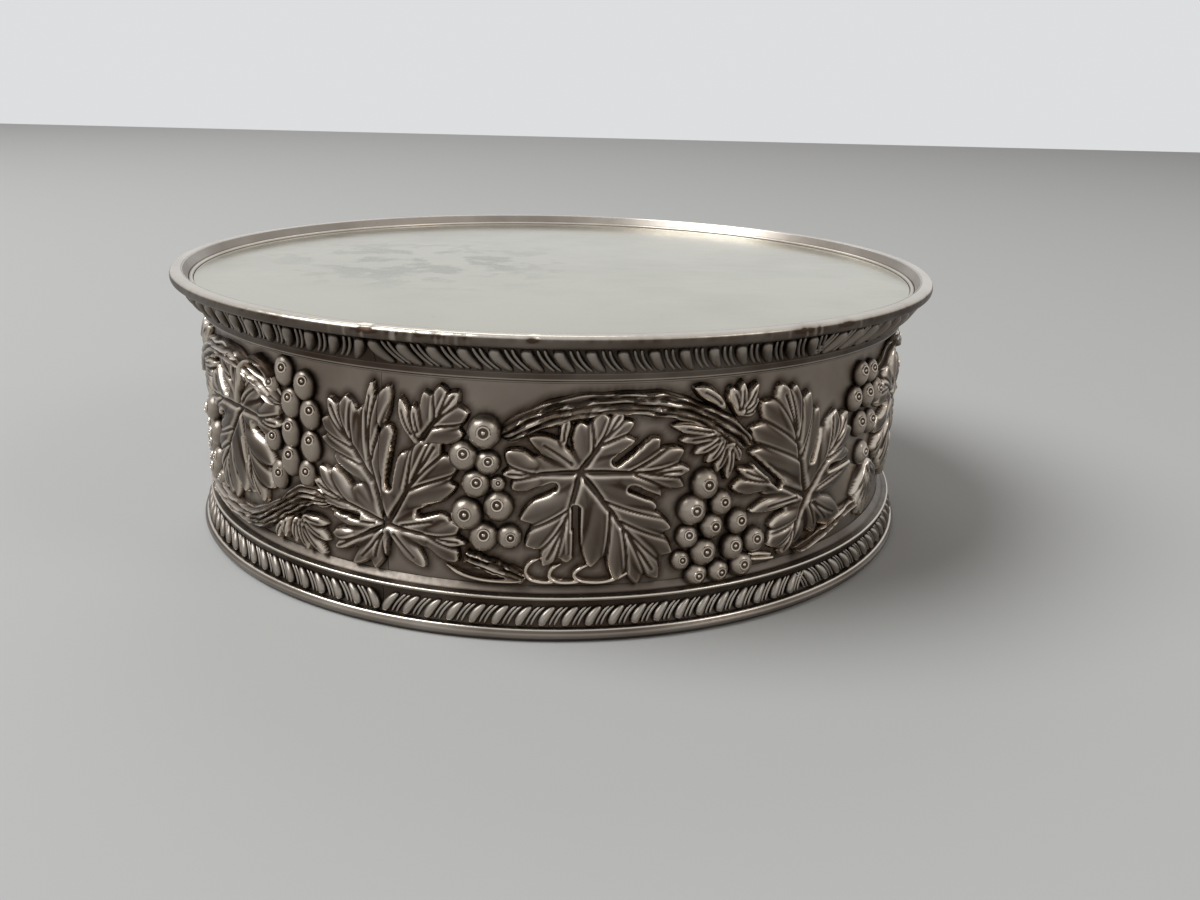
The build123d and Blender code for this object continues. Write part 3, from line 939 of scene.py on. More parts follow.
# A stamped leaf is a height field on its own fine grid, trimmed to its outline
class StampedLeaf:
    def __init__(self, low, high, step, depth):
        self.seamInset = coaster["seamInset"]
        lastAlong = panelLength - self.seamInset
        self.alongs = np.arange(max(low[0], self.seamInset), min(high[0], lastAlong), step)
        if high[0] > lastAlong:
            self.alongs = np.append(self.alongs, lastAlong)
        inset = coaster["bandInset"]
        self.levels = np.arange(max(low[1], inset), min(high[1], bandHeight - inset), step)
        self.depth = depth
        self.height = np.full((len(self.alongs), len(self.levels)), -depth)
        self.groove = np.zeros_like(self.height)
        self.rib = np.zeros_like(self.height)

    # Window of the grid round a line, with the distance from the line and the share of its length
    def near(self, line, margin):
        low, high = line.min(axis=0) - margin, line.max(axis=0) + margin
        columns = np.flatnonzero((self.alongs >= low[0]) & (self.alongs <= high[0]))
        rows = np.flatnonzero((self.levels >= low[1]) & (self.levels <= high[1]))
        window = np.ix_(columns, rows)
        along, up = np.meshgrid(self.alongs[columns], self.levels[rows], indexing="ij")
        gap, share = nearestOnLine(np.stack((along.ravel(), up.ravel()), axis=1), line)
        return window, gap.reshape(along.shape), share.reshape(along.shape)

    def raiseForm(self, line, halfWidth, rise, base, peak):
        window, gap, t = self.near(line, halfWidth + leafForm["reach"])
        grow = base + (1 - base) * np.clip(t / peak, 0, 1) ** leafForm["growth"]
        past = np.clip((t - peak) / (1 - peak), 0, 1)
        shut = np.clip(1 - past ** leafForm["taper"], 0, 1) ** leafForm["tipPower"]
        side = np.clip(gap / np.maximum(halfWidth * grow * shut, 1e-3), 0, 1)
        roundness, fullness = leafForm["crown"]
        crown = np.clip(1 - side**roundness, 0, 1) ** fullness
        swell = leafForm["level"] + leafForm["swell"] * np.sin(math.pi * t ** leafForm["swellPower"])
        lift = rise * swell * (1 - leafForm["tipDrop"] * t**3)
        form = np.where(side < 1, lift * crown, -self.depth)
        there = self.height[window]
        blend = leafForm["blend"]
        near = np.clip(blend - np.abs(there - form), 0, None)
        fill = np.where((there > 0) & (form > 0), near**2 / (4 * blend), 0)
        self.height[window] = np.maximum(there, form) + fill

    def cutVein(self, line, halfWidth, depth, rib):
        window, gap, t = self.near(line, leafForm["veinReach"] * halfWidth)
        width = halfWidth * (1 - leafForm["veinTaper"] * t)
        trench = depth * (1 - leafForm["trenchFade"] * t) * np.exp(-((gap / width) ** 2))
        ridge = np.exp(-((gap / (leafForm["ribShare"] * width)) ** 2))
        ridge = rib * (1 - leafForm["ribFade"] * t) * ridge
        self.groove[window] = np.maximum(self.groove[window], trench)
        self.rib[window] = np.maximum(self.rib[window], ridge)

    def cutSlot(self, line, halfWidth):
        window, gap, t = self.near(line, halfWidth + leafForm["reach"])
        inside = gap < halfWidth * (1 - leafForm["slotTaper"] * t)
        self.height[window] = np.where(inside, -self.depth, self.height[window])

    def closedAtSeams(self, height, dark):
        floor = np.full((1, height.shape[1]), -self.depth)
        full = np.ones_like(floor)
        if self.alongs[0] <= self.seamInset:
            height, dark = np.vstack((floor, height)), np.vstack((full, dark))
            self.alongs = np.insert(self.alongs, 0, self.alongs[0])
        if self.alongs[-1] >= panelLength - self.seamInset:
            height, dark = np.vstack((height, floor)), np.vstack((dark, full))
            self.alongs = np.append(self.alongs, self.alongs[-1])
        return height, dark

    def stamped(self, film):
        carved = np.maximum(self.height - self.groove + self.rib, leafForm["thinnest"])
        height = softened(np.where(self.height > 0, carved, self.height))
        fine = softened(height, leafForm["fineSoftening"])
        wide = softened(fine, leafForm["wideSoftening"])
        # Tarnish and painted occlusion shade darken creases and the low ground beside raised parts, wear
        # lightens crests, and the low foot is painted full dark
        creasePaintedShadeAndWear = leafForm["creasePaintedShadeGain"] * (fine - height)
        dark = np.clip(film + creasePaintedShadeAndWear + leafForm["broadPaintedShadeGain"] * np.clip(wide - height, 0, 1), 0, 1)
        dark = np.where(height < leafForm["foot"], 1.0, dark)
        height, dark = self.closedAtSeams(height, dark)
        keep = height > leafForm["trim"] * -self.depth
        cells = keep[:-1, :-1] | keep[1:, :-1] | keep[1:, 1:] | keep[:-1, 1:]
        # Cells that meet at a corner alone get a third one, so that the shell stays closed
        for turn in range(leafForm["cornerPasses"]):
            cells[1:, :-1] |= cells[:-1, :-1] & cells[1:, 1:] & ~cells[:-1, 1:]
            cells[:-1, :-1] |= cells[1:, :-1] & cells[:-1, 1:] & ~cells[1:, 1:]
        along, up = np.meshgrid(self.alongs, self.levels, indexing="ij")
        front = np.stack((along.ravel(), up.ravel(), height.ravel()), axis=1)
        back = front.copy()
        back[:, 2] = -self.depth - leafForm["backGap"]
        quads = closedShell(cells)
        used = np.unique(quads)
        renumber = np.full(2 * height.size, -1)
        renumber[used] = np.arange(len(used))
        border = (softened(keep.astype(float)) < leafForm["borderShare"]) & keep
        outline = np.stack((along[border], up[border]), axis=1)
        shades = np.concatenate((dark.ravel(), np.ones(height.size)))
        return np.vstack((front, back))[used], renumber[quads], shades[used], outline


# Leaves: each lobe has its tip, the tips of the teeth on its left and right from root to tip, the root
# of its vein, the vein's bend and, for a lobe with no teeth, its half width. A slot has its two ends, and
# a web its end and half width. All are millimetres from the leaf's heart.
def lobe(tip, left=(), right=(), root=(0.0, 0.0), bend=0.0, width=2.0):
    return {"tip": tip, "left": left, "right": right, "root": root, "bend": bend, "width": width}


leafKinds = {
    "climbing": {
        "lobes": (
            lobe((-2.0, 26.5), left=((-4.5, 21.0),), right=((1.0, 18.5), (1.2, 25.5)), bend=0.14),
            lobe((10.5, 17.5), left=((3.3, 13.8), (7.0, 16.5)), right=((13.0, 8.5), (13.5, 13.0))),
            lobe((11.8, 2.4), root=(1.0, -0.4), bend=0.06, width=2.2),
            lobe((15.0, -2.0), left=((13.6, 1.5),), right=((13.0, -5.6),)),
            lobe((7.0, -7.6), width=1.9),
            lobe((-3.0, -9.4), bend=-0.1, width=2.0),
            lobe((-8.0, -9.3), bend=0.1, width=1.8),
            lobe((-12.0, -7.0), right=((-12.3, -4.0),)),
            lobe((-12.0, -0.5), width=1.9),
            lobe((-16.5, 5.7), left=((-15.0, 1.7),), right=((-11.4, 8.8), (-14.6, 8.4))),
            lobe(
                (-11.8, 22.0),
                left=((-11.0, 11.0), (-13.7, 14.0), (-13.3, 17.5)),
                right=((-5.7, 20.5), (-7.6, 22.6)),
                root=(-2.6, 8.0),
            ),
        ),
        "slots": (
            ((0.4, 7.2), (2.4, 17.6)),
            ((6.3, 2.9), (13.4, 5.2)),
            ((-7.2, 7.6), (-11.6, 9.8)),
            ((-6.0, 0.5), (-14.0, 1.0)),
        ),
        "webs": (
            (0.9, 9.4, 2.2),
            (-6.4, 6.4, 2.0),
            (-6.0, -1.2, 1.8),
            (5.6, 3.0, 1.8),
            (5.0, -4.0, 1.5),
        ),
    },
    "spreading": {
        "lobes": (
            lobe((7.3, 11.0), left=((-0.2, 9.0), (3.5, 10.8)), right=((9.5, 5.2), (9.2, 8.6))),
            lobe((20.0, -0.7), left=((13.8, 5.5), (18.2, 3.2)), right=((14.4, -5.3), (18.6, -3.7))),
            lobe(
                (14.5, -21.3),
                left=((13.8, -7.2), (16.5, -11.3), (16.8, -16.0)),
                right=((2.0, -18.0), (6.6, -20.8), (10.4, -21.6)),
                bend=0.03,
            ),
            lobe(
                (-6.4, -18.0),
                left=((-1.3, -13.0), (-2.0, -17.0)),
                right=((-10.2, -9.0), (-9.2, -14.0)),
                bend=0.08,
            ),
            lobe((-13.6, -0.7), left=((-11.6, -3.6),), right=((-12.6, 3.4),)),
            lobe((-8.8, 6.0), bend=-0.14, width=2.1),
            lobe((-1.9, 10.2), root=(-2.8, 4.4), bend=0.1, width=1.1),
        ),
        "slots": (
            ((9.0, -3.3), (15.4, -6.5)),
            ((-0.6, -6.7), (-0.3, -17.6)),
            ((-4.4, -2.7), (-11.8, -5.8)),
            ((6.1, 1.7), (12.6, 6.8)),
        ),
        "webs": (
            (9.4, -3.8, 2.6),
            (-0.6, -8.0, 2.2),
            (-5.4, -3.2, 1.8),
            (6.4, 2.2, 1.8),
            (-4.6, 2.0, 1.4),
        ),
    },
    "leaning": {
        "lobes": (
            lobe(
                (-8.4, 23.2),
                left=((-14.0, 10.8), (-14.4, 15.2), (-12.2, 19.7)),
                right=((2.3, 16.8), (-0.7, 20.4), (-4.5, 22.2)),
                bend=-0.04,
            ),
            lobe((-16.9, 8.2), left=((-17.6, 4.4),), right=((-10.0, 6.8), (-13.2, 8.4))),
            lobe((-13.3, -0.9), bend=-0.08, width=1.7),
            lobe((-5.3, -11.2), left=((-1.5, -9.5),), right=((-8.6, -4.6), (-8.8, -8.0))),
            lobe((3.9, -8.6), width=2.0),
            lobe((8.4, -8.2), width=1.8),
            lobe((12.2, 14.6), left=((5.6, 12.8), (7.8, 15.4)), right=((14.0, 5.6), (14.2, 10.4))),
            lobe((15.6, 3.0), bend=0.08, width=3.0),
            lobe((12.6, -6.8), bend=-0.1, width=2.9),
        ),
        "slots": (((0.9, 7.0), (4.6, 15.6)), ((-7.0, 3.6), (-13.2, 9.2)), ((6.5, 4.2), (14.6, 4.0))),
        "webs": (
            (1.4, 8.0, 2.0),
            (-7.6, 4.2, 2.2),
            (7.0, 4.6, 2.0),
            (-5.0, -2.6, 1.6),
            (1.0, -5.0, 1.4),
        ),
    },
    "hanging": {
        "lobes": (
            lobe((0.0, -19.0), left=((4.6, -11.0), (4.0, -16.0)), right=((-4.6, -11.0), (-4.0, -16.0))),
            lobe((11.0, -10.0), left=((11.5, -4.5),), right=((7.4, -12.6),)),
            lobe((-11.0, -10.0), left=((-7.4, -12.6),), right=((-11.5, -4.5),)),
            lobe((9.6, 4.2), left=((6.0, 7.0),), right=((11.5, 0.2),)),
            lobe((-9.6, 4.2), left=((-11.5, 0.2),), right=((-6.0, 7.0),)),
            lobe((0.0, 9.5), width=2.0),
        ),
        "slots": (
            ((3.0, -5.4), (6.2, -10.4)),
            ((-3.0, -5.4), (-6.2, -10.4)),
            ((5.2, -1.4), (9.2, -2.4)),
            ((-5.2, -1.4), (-9.2, -2.4)),
        ),
        "webs": (
            (3.4, -6.2, 2.0),
            (-3.4, -6.2, 2.0),
            (6.0, -1.6, 1.8),
            (-6.0, -1.6, 1.8),
            (4.0, 4.0, 1.6),
            (-4.0, 4.0, 1.6),
        ),
    },
    "drooping": {
        "lobes": (
            lobe((-10.2, 2.3), root=(-1.0, 0.4), width=1.3),
            lobe((-8.6, -0.5), root=(-0.8, 0.0), width=1.3),
            lobe((-5.9, -3.2), root=(-0.4, -0.4), width=1.2),
            lobe((-3.4, -5.2), root=(0.0, -0.8), width=1.2),
            lobe((-1.6, -7.2), root=(0.6, -1.8), width=1.1),
            lobe((0.8, -8.8), root=(1.2, -1.6), width=1.2),
            lobe((3.4, -5.6), root=(1.6, -1.4), width=1.0),
        ),
    },
    "fan": {
        "lobes": (
            lobe(
                (6.3, 8.6),
                left=((0.2, 8.1), (3.1, 9.3)),
                right=((7.1, 0.8), (7.9, 4.6)),
                root=(-0.6, -0.8),
            ),
            lobe((-4.2, 6.6), root=(-1.4, -1.2), bend=0.12, width=1.2),
            lobe((-1.9, 5.6), root=(-0.8, -0.4), width=1.1),
        ),
    },
    "sprig": {
        "lobes": (
            lobe((-9.2, 5.6), root=(-3.2, 1.5), bend=-0.16, width=1.5),
            lobe((-2.0, 5.4), width=1.5),
            lobe((0.4, 6.2), width=1.2),
            lobe((3.7, 5.6), width=1.3),
            lobe((4.0, 2.8), width=1.1),
            lobe((3.6, 0.4), width=1.0),
        ),
    },
    "trailing": {
        "lobes": (
            lobe((-5.6, -6.8), width=1.0),
            lobe((-4.2, -9.8), width=1.0),
            lobe((-2.0, -11.8), width=1.0),
            lobe((0.6, -12.8), width=1.0),
            lobe((3.2, -11.8), width=1.0),
            lobe((5.6, -9.4), width=1.0),
            lobe((6.8, -6.0), width=1.0),
        ),
    },
    "tuft": {
        "lobes": (
            lobe((-6.8, -6.6), root=(-5.0, -2.4), width=1.1),
            lobe((-4.0, -5.7), root=(-3.2, -1.2), width=1.1),
            lobe((-0.8, -6.0), root=(-0.8, -0.6), width=1.2),
            lobe((2.5, -6.6), root=(0.2, -0.6), width=1.3),
            lobe((6.4, -6.6), root=(0.8, -0.4), width=1.3),
            lobe((7.5, -3.4), root=(1.2, 0.0), width=1.3),
            lobe((7.2, -0.2), root=(1.2, 0.4), width=1.2),
        ),
    },
}

# The panel's pattern is mirrored about half of this angle. A leaf's place is its kind, its angle from the
# seam, its height in the band and its hand.
mirrorTurn = 178.6
leafPlaces = (
    ("climbing", 0.6, 9.5, 1),
    ("fan", 6.2, 26.6, 1),
    ("spreading", 26.3, 21.6, 1),
    ("drooping", 45.9, 26.8, 1),
    ("sprig", 47.9, 30.0, 1),
    ("leaning", 60.7, 12.0, 1),
    ("trailing", 78.4, 13.6, 1),
    ("hanging", mirrorTurn / 2, 24.0, 1),
    ("trailing", mirrorTurn - 78.4, 13.6, -1),
    ("leaning", mirrorTurn - 60.7, 12.0, -1),
    ("sprig", mirrorTurn - 47.9, 30.0, -1),
    ("drooping", mirrorTurn - 45.9, 26.8, -1),
    ("spreading", mirrorTurn - 26.3, 24.0, -1),
    ("tuft", 164.9, 6.7, 1),
    ("climbing", 180.6, 9.5, 1),
)
leafSettings = {
    "step": 0.22,
    "depth": 0.35,
    "margin": 2.0,
    "rise": 2.0,
    # film: tarnish laid deep enough to also be a painted dark reflection on the leaves
    "film": 0.93,
    "plainRise": (0.9, 0.15),
    "plainGrowth": (0.5, 0.55),
    "bladeShare": 0.76,
    "bladeLevel": 0.86,
    "bladeGrowth": (0.6, 0.6),
    "lowestTooth": 0.1,
    "lowestRoot": 0.03,
    "toothRun": 0.36,
    "toothLean": 0.4,
    "toothCurl": 0.35,
    "toothRoot": 0.3,
    "toothRise": (0.92, 0.16),
    "toothGrowth": (0.9, 0.58),
    "overlap": 0.56,
    "narrowest": 1.3,
    "widest": 2.8,
    "tipShare": 0.32,
    "tipLevel": 1.05,
    "tipGrowth": (0.6, 0.5),
    "webLevel": 0.85,
    "webGrowth": (0.3, 0.75),
    "veinHalfWidth": 0.45,
    "veinDepth": 1.3,
    "veinRib": 0.5,
    "creaseHalfWidth": 0.26,
    "creaseDepth": 0.8,
    "creaseEdge": 0.3,
    "edgeOffset": (-0.3, 0.3),
    "slotHalfWidth": 0.66,
}


# Raises one lobe and gives back the lines of its creases. Its axis has a point at each hundredth of its
# length, so that 50 stands for its middle.
def addLobe(leaf, place, shape, settings):
    rise = settings["rise"]
    root, tip = place(shape["root"]), place(shape["tip"])
    axis = bentLine(root, tip, shape["bend"] * place.hand, 101)

    def unevenRise(least, variation):
        return rise * (least + variation * chance.random())

    if not shape["left"] and not shape["right"]:
        plainRise = unevenRise(*settings["plainRise"])
        leaf.raiseForm(axis[4::4], shape["width"], plainRise, *settings["plainGrowth"])
        return [axis[20:75:4]]
    reach = np.linalg.norm(tip - root)
    forward = (tip - root) / reach
    side = np.array((-forward[1], forward[0]))
    rows = [[place(point) for point in shape[name]] for name in ("left", "right")]
    spread = max(abs((point - root) @ side) for row in rows for point in row)
    blade = spread * settings["bladeShare"]
    leaf.raiseForm(axis[0:88:4], blade, rise * settings["bladeLevel"], *settings["bladeGrowth"])
    creases = []
    for row in rows:
        tips = row + [tip]
        lines = []
        for k, point in enumerate(row):
            spot = np.clip((point - root) @ forward / reach, settings["lowestTooth"], 1.0)
            start = max(settings["lowestRoot"], spot - settings["toothRun"])
            lateral = (point - axis[int(100 * spot)]) @ side
            control = axis[int(100 * (start + settings["toothLean"] * (spot - start)))]
            control = control + side * lateral * settings["toothCurl"]
            foot = axis[int(100 * start)] + side * np.sign(lateral) * settings["toothRoot"]
            line = curvedLine(foot, control, point, 16)
            width = min(settings["overlap"] * np.linalg.norm(tips[k + 1] - point), settings["widest"])
            width = max(width, settings["narrowest"])
            leaf.raiseForm(line, width, unevenRise(*settings["toothRise"]), *settings["toothGrowth"])
            lines.append(line)
            onward = axis[np.linspace(int(100 * start), 100, 16).astype(int)]
        if lines:
            creases.extend((first + second) / 2 for first, second in zip(lines, lines[1:] + [onward]))
    tipWidth = min(max(spread * settings["tipShare"], settings["narrowest"]), settings["widest"])
    leaf.raiseForm(axis[50:101:4], tipWidth, rise * settings["tipLevel"], *settings["tipGrowth"])
    return creases


class LeafPlace:
    def __init__(self, turn, level, hand):
        self.heart = np.array((arcLength(turn), level))
        self.hand = hand

    def __call__(self, point):
        return self.heart + np.array((point[0] * self.hand, point[1]))


def makeLeaf(kind, turn, level, hand, settings):
    place = LeafPlace(turn, level, hand)
    pattern = leafKinds[kind]
    shapes = pattern["lobes"]
    tips = [place.heart]
    for shape in shapes:
        tips.extend(place(point) for point in (shape["tip"], *shape["left"], *shape["right"]))
    low = np.min(tips, axis=0) - settings["margin"]
    high = np.max(tips, axis=0) + settings["margin"]
    leaf = StampedLeaf(low, high, settings["step"], settings["depth"])
    for along, up, halfWidth in pattern.get("webs", ()):
        line = bentLine(place.heart, place((along, up)), 0.0, 9)
        leaf.raiseForm(line, halfWidth, settings["rise"] * settings["webLevel"], *settings["webGrowth"])
    creases = []
    for shape in shapes:
        creases.extend(addLobe(leaf, place, shape, settings))
    for crease in creases:
        halfWidth = settings["creaseHalfWidth"]
        leaf.cutVein(crease, halfWidth, settings["creaseDepth"], 0.0)
        leaf.cutVein(crease + settings["edgeOffset"], halfWidth * 2, 0.0, settings["creaseEdge"])
    for shape in shapes:
        if shape["left"] or shape["right"]:
            vein = bentLine(place(shape["root"]), place(shape["tip"]), shape["bend"] * hand, 25)[:22]
            leaf.cutVein(vein, settings["veinHalfWidth"], settings["veinDepth"], settings["veinRib"])
    for start, end in pattern.get("slots", ()):
        leaf.cutSlot(bentLine(place(start), place(end), 0.0, 9), settings["slotHalfWidth"])
    return leaf.stamped(settings["film"])


def makeLeaves(places, settings):
    points, quads, tarnishAndPaintedShade, outline = zip(*(makeLeaf(*place, settings) for place in places))
    starts = np.cumsum([0] + [len(part) for part in points[:-1]])
    quads = [part + start for part, start in zip(quads, starts)]
    return np.vstack(points), np.vstack(quads).tolist(), np.concatenate(tarnishAndPaintedShade), np.vstack(outline)


def mirrored(places):
    return tuple((mirrorTurn - turn, *rest) for turn, *rest in places)


# Stems: knots as angle from the seam and height, then half width, rise and number of bark ribs
vineArch = (
    (16.2, 27.3),
    (21.6, 31.0),
    (28.5, 33.2),
    (36.2, 33.0),
    (41.7, 31.0),
    (47.0, 27.0),
    (49.6, 23.8),
)
vineFoot = (
    (126.0, 1.8),
    (138.0, 1.8),
    (148.0, 1.7),
    (155.0, 2.6),
    (162.0, 7.6),
    (166.5, 11.2),
    (171.5, 11.6),
)
shortTwig = ((11.2, 5.2), (15.0, 3.6), (19.4, 1.5))
lowTwig = ((59.8, 0.9), (62.4, 1.5), (66.7, 3.0), (70.5, 4.8), (75.3, 5.6))
hook = ((152.4, 24.6), (152.9, 29.0), (154.0, 32.5), (156.8, 34.6), (159.2, 34.0), (161.2, 31.8))
yoke = ((79.8, 31.2), (83.9, 34.2), (87.2, 35.8), (89.3, 36.1), (91.4, 35.8), (94.7, 34.2), (98.8, 31.2))
stems = (
    (vineArch, 2.35, 2.0, 4),
    (mirrored(vineArch), 2.35, 2.0, 4),
    (shortTwig, 1.5, 1.5, 3),
    (vineFoot, 2.2, 2.0, 5),
    (hook, 1.0, 2.2, 1),
    (yoke, 0.9, 1.6, 2),
    (lowTwig, 0.95, 1.6, 2),
    (mirrored(lowTwig), 0.95, 1.6, 2),
)

# Tendrils: thin curls, in the same measures
tendrils = (
    ((50.9, 2.8), (53.2, 2.3), (55.6, 1.5)),
    ((51.3, 1.7), (53.6, 1.2), (56.2, 0.8)),
    ((8.5, 3.2), (10.8, 1.7), (13.5, 0.9), (16.6, 0.8), (18.8, 1.1), (19.6, 2.2)),
    ((21.4, 5.4), (20.0, 4.6), (19.4, 2.8), (20.2, 1.3), (22.2, 0.9), (24.4, 1.4)),
    ((24.2, 4.4), (22.9, 3.6), (22.6, 2.0), (23.6, 1.0), (25.6, 0.9), (27.4, 1.4)),
    (
        (28.2, 4.2),
        (26.6, 3.6),
        (25.8, 2.4),
        (26.6, 1.2),
        (28.8, 0.8),
        (31.0, 1.2),
        (33.0, 2.6),
        (33.4, 4.0),
    ),
)
tendrilShape = {"steps": 48, "across": 9, "halfWidth": 0.52, "rise": 1.1, "endRun": 0.15, "film": 0.05}
stemShape = {"steps": 64, "across": 23, "endRun": 0.04, "lumps": ((0.09, 23.0), (0.05, 61.0))}

# A stroke's section is a crown that rises from a little under the ground, with wear and a painted highlight
# on its shoulders; without bark it is also given painted shade towards its sides, and its foot is dark.
# Bark waves along and across it; each wander has a size, a pace along the stem and a lean across it.
strokeShape = {
    "thinnest": 0.02,
    "sink": 0.3,
    "crown": (2.1, 0.6),
    "foot": 0.3,
    "paintedShade": (1.2, 1.6),
    "shoulder": (0.82, 0.16),
    "shoulderWearAndHighlight": 0.9,
}
bark = {
    "depth": 0.5,
    "twist": 0.11,
    "wanders": ((0.8, 0.5, 3.0), (0.4, 1.1, -4.0)),
    "film": 0.75,
    "wear": 0.95,
    "furrow": -0.2,
}


class StemRelief:
    def __init__(self):
        self.points = []
        self.faces = []
        self.tarnishAndPaintedShade = []
        self.outline = []
        self.count = 0

    def addStroke(self, line, widths, rises, across, film=1.0, ribs=0):
        along = np.gradient(line, axis=0)
        along /= np.maximum(np.linalg.norm(along, axis=1), 1e-9)[:, None]
        normal = np.stack((-along[:, 1], along[:, 0]), axis=1)
        side = np.sin(np.linspace(-math.pi / 2, math.pi / 2, across))
        roundness, fullness = strokeShape["crown"]
        crown = np.clip(1 - np.abs(side) ** roundness, 0, 1) ** fullness
        foot = crown < strokeShape["foot"]
        place = line[:, None, :] + normal[:, None, :] * (widths[:, None] * side)[:, :, None]
        lift = rises[:, None] * crown
        if ribs:
            steps = np.linalg.norm(np.diff(line, axis=0), axis=1)
            run = np.concatenate(([0.0], np.cumsum(steps)))[:, None]
            wander = sum(size * np.sin(pace * run + lean * side) for size, pace, lean in bark["wanders"])
            wave = np.cos(bark["twist"] * run + side * ribs * math.pi + wander)
            lift = lift + bark["depth"] * wave * crown
            worn = bark["wear"] * np.clip(wave, 0, 1) ** 3
            dark = np.clip(np.where(foot, 1.0, bark["film"]) - worn, 0, 1)
            dark = np.where(wave < bark["furrow"], 1.0, dark)
        else:
            # Wear and a painted highlight brighten the shoulders; painted shade darkens the sides and the
            # foot
            middle, reach = strokeShape["shoulder"]
            wearAndHighlight = strokeShape["shoulderWearAndHighlight"] * np.exp(-(((np.abs(side) - middle) / reach) ** 2))
            full, fall = strokeShape["paintedShade"]
            dark = np.where(foot, 1.0, np.clip(full - fall * crown, film, 1) * (1 - wearAndHighlight))
            dark = np.tile(dark, (len(line), 1))
        flat = np.concatenate((place, (lift - strokeShape["sink"])[:, :, None]), axis=2)
        self.points.append(flat.reshape(-1, 3))
        self.tarnishAndPaintedShade.append(dark.reshape(-1))
        self.outline.append(place[:, (0, -1), :].reshape(-1, 2))
        for face in tubeFaces(len(line), across):
            self.faces.append(tuple(self.count + corner for corner in face))
        self.count += len(line) * across

    def trimmed(self):
        points = np.vstack(self.points)
        tarnishAndPaintedShade = np.concatenate(self.tarnishAndPaintedShade)
        low, high = coaster["seamInset"], panelLength - coaster["seamInset"]
        inside = (points[:, 0] > low) & (points[:, 0] < high)
        faces = [face for face in self.faces if inside[list(face)].any()]
        points[:, 0] = np.clip(points[:, 0], low, high)
        points[:, 1] = np.clip(points[:, 1], coaster["bandInset"], bandHeight - coaster["bandInset"])
        used = np.unique(np.concatenate([np.array(face) for face in faces]))
        renumber = np.full(len(points), -1)
        renumber[used] = np.arange(len(used))
        faces = [tuple(int(renumber[v]) for v in face) for face in faces]
        return points[used], faces, tarnishAndPaintedShade[used]


def strokeLine(knots, steps, endRun):
    line = throughPoints([(arcLength(turn), level) for turn, level in knots], steps)
    t = np.linspace(0, 1, steps)
    ends = np.sqrt(np.clip(np.minimum(t, 1 - t) / endRun, strokeShape["thinnest"], 1))
    return line, t, ends


def addStems(relief):
    sink = strokeShape["sink"]
    for knots, halfWidth, rise, ribs in stems:
        line, t, ends = strokeLine(knots, stemShape["steps"], stemShape["endRun"])
        starts = (arcLength(knots[0][0]), knots[0][1])
        lumps = zip(stemShape["lumps"], starts)
        uneven = 1 + sum(size * np.sin(t * pace + start) for (size, pace), start in lumps)
        widths = halfWidth * ends * uneven
        relief.addStroke(line, widths, sink + rise * ends, stemShape["across"], ribs=ribs)
    for knots in tendrils:
        line, t, ends = strokeLine(knots, tendrilShape["steps"], tendrilShape["endRun"])
        rises = sink + tendrilShape["rise"] * ends
        widths = tendrilShape["halfWidth"] * ends
        relief.addStroke(line, widths, rises, tendrilShape["across"], film=tendrilShape["film"])


# Grapes: angle from the seam, height in the band and diameter
leftBunch = (
    (14.1, 28.1, 6.0),
    (11.3, 23.6, 5.3),
    (14.5, 22.7, 4.6),
    (12.9, 18.7, 5.1),
    (15.75, 18.9, 3.0),
    (11.7, 13.1, 5.8),
    (15.85, 14.85, 5.4),
    (13.9, 9.1, 5.3),
    (17.25, 9.3, 4.5),
)
middleBunch = (
    (43.3, 17.9, 5.6),
    (41.6, 13.3, 5.5),
    (45.9, 13.9, 4.6),
    (44.6, 9.8, 5.0),
    (48.7, 9.8, 4.7),
    (41.1, 8.3, 4.5),
    (43.6, 5.0, 5.3),
    (48.1, 5.0, 4.9),
    (51.7, 5.6, 4.8),
    (40.3, 3.8, 3.9),
    (42.7, 0.7, 4.5),
    (46.1, 0.6, 4.5),
    (49.8, 1.1, 4.9),
)
rightBunch = (
    (73.5, 32.4, 4.8),
    (77.2, 32.1, 4.4),
    (72.1, 27.7, 4.8),
    (76.5, 27.3, 4.6),
    (80.3, 27.2, 4.6),
    (74.6, 22.0, 4.8),
    (78.5, 21.4, 4.6),
    (76.3, 15.5, 4.8),
)
farBunch = (
    (163.3, 33.8, 4.9),
    (167.2, 32.0, 4.8),
    (164.4, 28.1, 4.8),
    (160.2, 30.2, 4.5),
    (168.1, 26.8, 4.7),
    (164.1, 22.5, 4.8),
    (159.9, 20.3, 4.4),
    (167.9, 20.8, 4.8),
    (163.7, 17.0, 4.9),
    (160.9, 13.3, 4.6),
    (166.9, 15.2, 4.5),
)
# Of each bunch: its grapes, how far their eyes turn aside, and how the domes stretch across, up and out
bunches = (
    (leftBunch, 6.0, (1.0, 1.04, 0.9)),
    (middleBunch, -4.0, (1.0, 1.06, 0.9)),
    (rightBunch, -12.0, (1.0, 1.14, 0.7)),
    (mirrored(middleBunch + rightBunch), 4.0, (1.0, 1.08, 0.85)),
    (farBunch, 14.0, (1.0, 1.28, 0.7)),
)
grapes = [(*berry, eyeTurn, stretch) for bunch, eyeTurn, stretch in bunches for berry in bunch]
grapeSettings = {
    "lift": 0.05,
    "uneven": 0.06,
    "largest": 1.02,
    "eyeTilt": 11.0,
    "eyeVariation": 6.0,
    "eyeSink": 0.022,
    "eyeSize": 0.175,
    "eyeWire": 0.045,
    "dotSize": 0.075,
}
